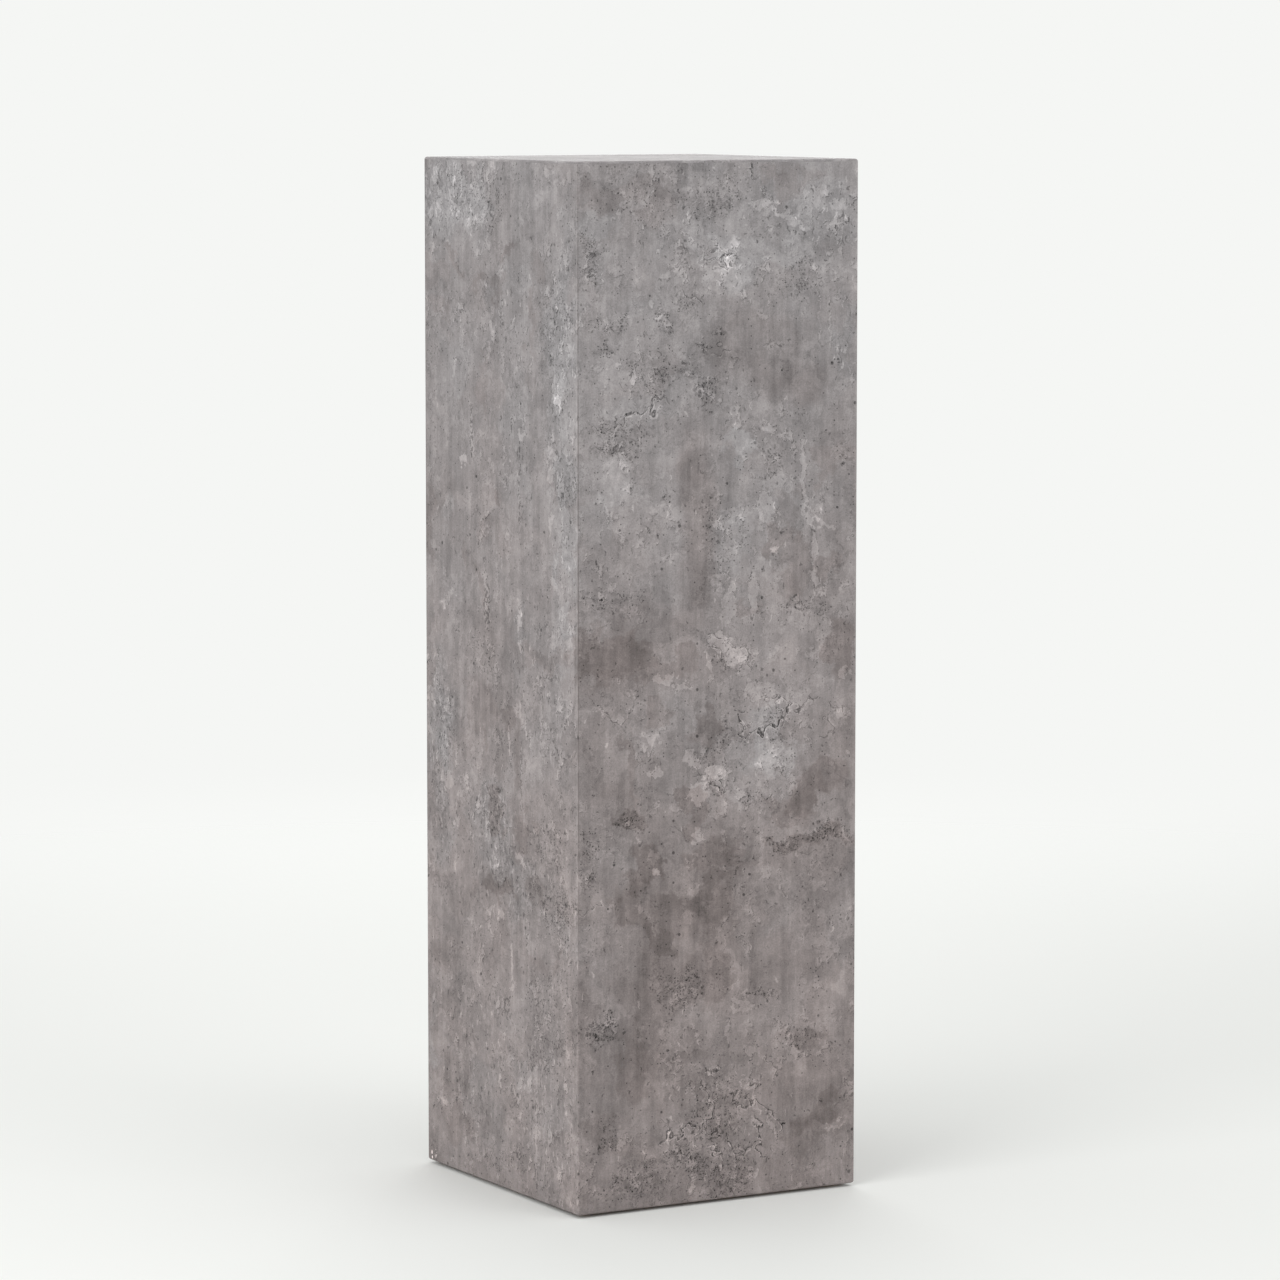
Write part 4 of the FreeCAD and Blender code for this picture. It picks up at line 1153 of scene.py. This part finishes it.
def make_pine_material(name, runs_across):
    material, w, shader = new_material(name)
    x, y, z = w.split(object_point(w))
    along, aside = (x, y) if runs_across else (y, x)
    bend = w.noise(w.combine(w.times(along, 0.12), aside, z), 30 * MM, 3.0, 0.5, flat=False)
    wide = w.minus(w.size_of(aside), HEART_OUT)
    below = w.total(z, HEART_BELOW)
    from_heart = w.calc("SQRT", w.times_plus(wide, wide, w.times(below, below)))
    ring = w.calc("DIVIDE", w.times_plus(bend, RING_BEND, from_heart), RING_WIDTH)
    season = w.calc("FRACT", ring)
    summer = w.times(w.rise(season, 0.25, 0.88), w.rise(season, 0.90, 1.0, 1.0, 0.0))
    fibre = w.noise(w.combine(w.times(along, 0.03), aside, z), 0.8 * MM, 3.0, 0.7, flat=False)
    sawn = w.combine(along, w.times(aside, 0.05), w.times(z, 0.05))
    sawn = w.noise(sawn, 1.5 * MM, 2.0, 0.6, flat=False)
    colour = w.mix(w.times(summer, 0.75), PINE_SPRING, PINE_SUMMER)
    colour = w.mix(w.rise(fibre, 0.52, 0.72, 0.0, 0.5), colour, PINE_PORE)
    height = w.total(w.times(fibre, 0.6), w.times(sawn, 0.8), summer)
    finish(w, shader, colour, w.times_plus(summer, -0.12, 0.68), height, 0.5, 0.1 * MM)
    return material


pine_across = make_pine_material("softwood_across", True)
pine_deep = make_pine_material("softwood_front_to_back", False)
for side in SIDES:
    dress(side + "_cleat", pine_across if side in ("front", "back") else pine_deep)
print("ring width:", round(RING_WIDTH / MM, 1), "mm")

# %% [markdown]
# ## Zinc-plated steel
#
# Screws and nails are steel with a thin bright zinc coat. New zinc is a cool grey metal with a
# faint crystal flower, blue and straw-coloured tints where the passivation is uneven, and tiny
# scratches from the driver. The tints go into the base colour, since that is the colour of a
# metal's reflection, and the scratches go into the roughness.

# %% Zinc
ZINC_COOL = seen_colour(196, 202, 210)
ZINC_WARM = seen_colour(214, 206, 184)
ZINC_WORN = seen_colour(150, 148, 146)
CRYSTALS = 1400.0


def make_zinc_material():
    material, w, shader = new_material("zinc_steel")
    point = object_point(w)
    flower = w.add("ShaderNodeTexVoronoi", {"Vector": point, "Scale": CRYSTALS}, "Color",
                   voronoi_dimensions="3D")
    crystal = w.split(flower)[0]
    tint = w.noise(point, 5 * MM, 3.0, 0.6, flat=False)
    rub = w.noise(point, 1.1 * MM, 4.0, 0.75, flat=False)
    scratch = w.noise(w.stretch(point, 1.0, 1.0, 9.0), 0.9 * MM, 2.0, 0.6, flat=False)
    colour = w.mix(w.rise(tint, 0.35, 0.65), ZINC_COOL, ZINC_WARM)
    colour = w.mix(w.rise(rub, 0.55, 0.75, 0.0, 0.6), colour, ZINC_WORN)
    roughness = w.total(0.26, w.times(crystal, 0.10), w.rise(scratch, 0.5, 0.7, 0.0, 0.15))
    shader.inputs["Metallic"].default_value = 1.0
    finish(w, shader, colour, roughness, w.total(crystal, scratch), 0.35, 0.03 * MM)
    return material


zinc = make_zinc_material()
dress("glide_nails", zinc)

# %% [markdown]
# ## Countersunk screws
#
# Sixteen screws hold the base: eight from below through the base board, and eight from inside
# through the cleats. The frame has them as plain pins with countersunk heads. A real one has a
# cross recess and a thread, so Geometry Nodes make one screw from a few sizes and then set it out:
# two on a line at one wall, and that pair four times round the column. The recess is cut by a
# boolean, and the thread is a small three-sided profile drawn along a spiral, sharp edge outwards.
# Head, core, point and thread could simply lie in each other, but they are united, so that a screw
# is one closed solid without hidden faces. The last step joins points that the cutting left almost
# on top of each other.

# %% The parts of a screw
# Every part runs into the next by the overlap, so that they can grow together.
OVERLAP = 0.02 * MM
HEAD_SIDES = 32
CORE_SIDES = 24
TURN_POINTS = 20
THREADED_SHARE = 0.72


def raised(w, shape, height):
    return w.add("GeometryNodeTransform", {"Geometry": shape,
                                           "Translation": w.combine(0.0, 0.0, height)})


def screw_head(w, size):
    """A thin rim and a cone under it."""
    rim = w.add("GeometryNodeMeshCylinder", {
        "Vertices": HEAD_SIDES, "Radius": size["Head Radius"], "Depth": size["Rim"]})
    cone = w.add("GeometryNodeMeshCone", {
        "Vertices": HEAD_SIDES, "Radius Top": size["Core Radius"],
        "Radius Bottom": size["Head Radius"],
        "Depth": w.minus(size["Head Height"], size["Rim"])})
    return [raised(w, rim, w.times(size["Rim"], 0.5)),
            raised(w, cone, w.minus(size["Rim"], OVERLAP))]


def screw_shank(w, size):
    """A core, a point and a thread."""
    core_end = w.minus(size["Length"], size["Tip"])
    core_long = w.minus(core_end, size["Head Height"])
    core = w.add("GeometryNodeMeshCylinder", {
        "Vertices": CORE_SIDES, "Radius": size["Core Radius"],
        "Depth": w.total(core_long, 4 * OVERLAP)})
    tip = w.add("GeometryNodeMeshCone", {
        "Vertices": CORE_SIDES, "Radius Top": 0.0, "Radius Bottom": size["Core Radius"],
        "Depth": size["Tip"]})
    threaded = w.times(core_long, THREADED_SHARE)
    spiral = w.add("GeometryNodeCurveSpiral", {
        "Resolution": TURN_POINTS, "Rotations": w.calc("DIVIDE", threaded, size["Pitch"]),
        "Start Radius": size["Core Radius"], "End Radius": size["Core Radius"],
        "Height": threaded})
    spiral = w.add("GeometryNodeSetCurveNormal", {"Curve": spiral}, mode="Z_UP")
    profile = w.add("GeometryNodeCurvePrimitiveCircle", {
        "Resolution": 3, "Radius": size["Thread Size"]}, mode="RADIUS")
    profile = w.add("GeometryNodeTransform", {"Geometry": profile, "Rotation": (0, 0, math.pi)})
    thread = w.add("GeometryNodeCurveToMesh", {
        "Curve": spiral, "Profile Curve": profile, "Fill Caps": True})
    return [raised(w, core, w.times_plus(core_long, 0.5, size["Head Height"])),
            raised(w, tip, w.minus(core_end, OVERLAP)),
            raised(w, thread, w.minus(core_end, threaded))]


def combine_solids(w, operation, solids, base=None):
    joined = w.add("GeometryNodeMeshBoolean", {} if base is None else {"Mesh 1": base},
                   operation=operation, solver="MANIFOLD")
    for solid in solids:
        w.join(joined.node.inputs["Mesh 2"], solid)
    return joined


# %% One screw, and its way round the column
SCREW_SIZES = {
    "Head Radius": 3.45 * MM, "Head Height": 2.1 * MM, "Rim": 0.4 * MM, "Core Radius": 1.25 * MM,
    "Length": 30 * MM, "Tip": 4 * MM, "Pitch": 1.7 * MM, "Thread Size": 0.47 * MM,
    "Recess Width": 0.9 * MM, "Recess Reach": 3.9 * MM, "Recess Depth": 1.5 * MM,
    "Spread": 75 * MM, "Wall Line": 128 * MM, "Rise": 3.6 * MM, "Lean": 0.0}


def one_screw(w, size):
    """All parts grown into one solid, and the cross cut into its head from outside."""
    solid = combine_solids(w, "UNION", screw_head(w, size) + screw_shank(w, size))
    deep = w.times(size["Recess Depth"], 2.0)
    plans = ((size["Recess Reach"], size["Recess Width"]),
             (size["Recess Width"], size["Recess Reach"]))
    slots = [w.add("GeometryNodeMeshCube", {"Size": w.combine(*plan, deep)}) for plan in plans]
    screw = combine_solids(w, "DIFFERENCE", slots, solid)
    return w.add("GeometryNodeMergeByDistance", {"Geometry": screw, "Distance": OVERLAP / 4})


def set_out(w, size, screw):
    """Two screws on one wall, then that pair on four walls."""
    start = w.combine(w.times(size["Spread"], -1.0), w.times(size["Wall Line"], -1.0),
                      size["Rise"])
    step = w.combine(w.times(size["Spread"], 2.0), 0.0, 0.0)
    spots = w.add("GeometryNodeMeshLine", {"Count": 2, "Start Location": start, "Offset": step},
                  mode="OFFSET")
    pair = w.add("GeometryNodeInstanceOnPoints", {
        "Points": spots, "Instance": screw, "Rotation": w.combine(size["Lean"], 0.0, 0.0)})
    walls = w.add("GeometryNodePoints", {"Count": 4, "Position": ORIGIN})
    quarter = w.times(w.add("GeometryNodeInputIndex"), math.pi / 2)
    return w.add("GeometryNodeInstanceOnPoints", {
        "Points": walls, "Instance": pair, "Rotation": w.combine(0.0, 0.0, quarter)})


def make_screw_tree():
    tree = bpy.data.node_groups.new("screws_round_four_walls", "GeometryNodeTree")
    for label, value in SCREW_SIZES.items():
        socket = tree.interface.new_socket(label, in_out="INPUT", socket_type=FLOAT)
        socket.default_value = value
    tree.interface.new_socket("Finish", in_out="INPUT", socket_type="NodeSocketMaterial")
    tree.interface.new_socket("Screws", in_out="OUTPUT", socket_type="NodeSocketGeometry")
    w = Wiring(tree)
    size = tree.nodes.new("NodeGroupInput").outputs
    ring = set_out(w, size, one_screw(w, size))
    plain = w.add("GeometryNodeRealizeInstances", {"Geometry": ring})
    finished = w.add("GeometryNodeSetMaterial", {"Geometry": plain, "Material": size["Finish"]})
    w.join(tree.nodes.new("NodeGroupOutput").inputs["Screws"], finished)
    return tree


screw_tree = make_screw_tree()
print("nodes in the screw tree:", len(screw_tree.nodes))

# %% [markdown]
# The tree runs as a modifier on an empty object. Its sizes are set by each input's identifier,
# before anything is evaluated, because two inputs may share a name. The result is then copied as a
# plain mesh and the maker is thrown away, so that what is left is an ordinary piece that can take
# the pins' place. The same tree makes both rows; the upper one leans a quarter turn.

# %% Run the tree for one row of screws
def rounded(box):
    return [[round(value, 4) for value in corner] for corner in box]


def make_screws(name, node, **sizes):
    """Run the screw tree with some sizes changed and keep the result as a plain mesh."""
    source = bpy.data.objects.new("screw_maker", bpy.data.meshes.new("screw_maker"))
    scene.collection.objects.link(source)
    modifier = source.modifiers.new("screws", "NODES")
    modifier.node_group = screw_tree
    inputs = {item.name: item.identifier for item in screw_tree.interface.items_tree
              if item.in_out == "INPUT"}
    modifier[inputs["Finish"]] = zinc
    for label, value in sizes.items():
        modifier[inputs[label.replace("_", " ")]] = value
    graph = bpy.context.evaluated_depsgraph_get()
    mesh = bpy.data.meshes.new_from_object(source.evaluated_get(graph))
    source.modifiers.clear()
    bpy.data.objects.remove(source)
    screws = bpy.data.objects.new(name, mesh)
    scene.collection.objects.link(screws)
    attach(screws, "root")
    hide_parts(node)
    corners = [[test(vertex.co[axis] for vertex in mesh.vertices) for axis in range(3)]
               for test in (min, max)]
    print(name, "faces:", len(mesh.polygons), "box:", rounded(corners))


# %% Set them out
SCREW_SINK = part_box("base_screws")[0][2]
CLEAT_SIDE = 20 * MM
BASE_SPREAD = 75 * MM
CLEAT_SPREAD = 100 * MM
cleat_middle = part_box("front_cleat")[0][2] + CLEAT_SIDE / 2
make_screws("threaded_base_screws", "base_screws", Spread=BASE_SPREAD,
            Wall_Line=INSIDE_FACE - CLEAT_SIDE / 2, Rise=SCREW_SINK)
make_screws("threaded_cleat_screws", "cleat_screws", Spread=CLEAT_SPREAD,
            Wall_Line=INSIDE_FACE - CLEAT_SIDE, Rise=cleat_middle, Lean=math.pi / 2)

# %% [markdown]
# ## Moulded glides
#
# The glides are small dark plastic feet, nailed on. A mould leaves a fine, even grain, and their
# soles are the one part of the column that rubs on a floor, so the lowest half millimetre is
# scratched and greyed.

# %% Glides
GLIDE_DARK = seen_colour(52, 50, 49)
GLIDE_SHEEN = seen_colour(66, 64, 62)
GLIDE_WORN = seen_colour(124, 120, 116)
SOLE_DEPTH = 0.5 * MM


def make_glide_material():
    material, w, shader = new_material("glide_plastic")
    point = object_point(w)
    grain = w.noise(point, 0.45 * MM, 2.0, 0.6, flat=False)
    flow = w.noise(point, 7 * MM, 3.0, 0.5, flat=False)
    scuffs = w.noise(w.stretch(point, 0.2, 1.0, 1.0), 0.9 * MM, 4.0, 0.8, flat=False)
    sole = w.rise(w.split(point)[2], 0.0, SOLE_DEPTH, 1.0, 0.0)
    worn = w.times(sole, w.rise(scuffs, 0.42, 0.62))
    colour = w.mix(w.rise(flow, 0.3, 0.7), GLIDE_DARK, GLIDE_SHEEN)
    roughness = w.total(0.42, w.times(grain, 0.15), w.times(worn, 0.3))
    finish(w, shader, w.mix(worn, colour, GLIDE_WORN), roughness, w.total(grain, scuffs),
           0.4, 0.04 * MM)
    return material


glide_plastic = make_glide_material()
for corner in CORNERS:
    dress("glide_" + corner, glide_plastic)
undressed = [name for name, node in nodes.items() if not node.hide_render
             and not any(node.data.materials)]
print("nodes without a finish:", undressed)
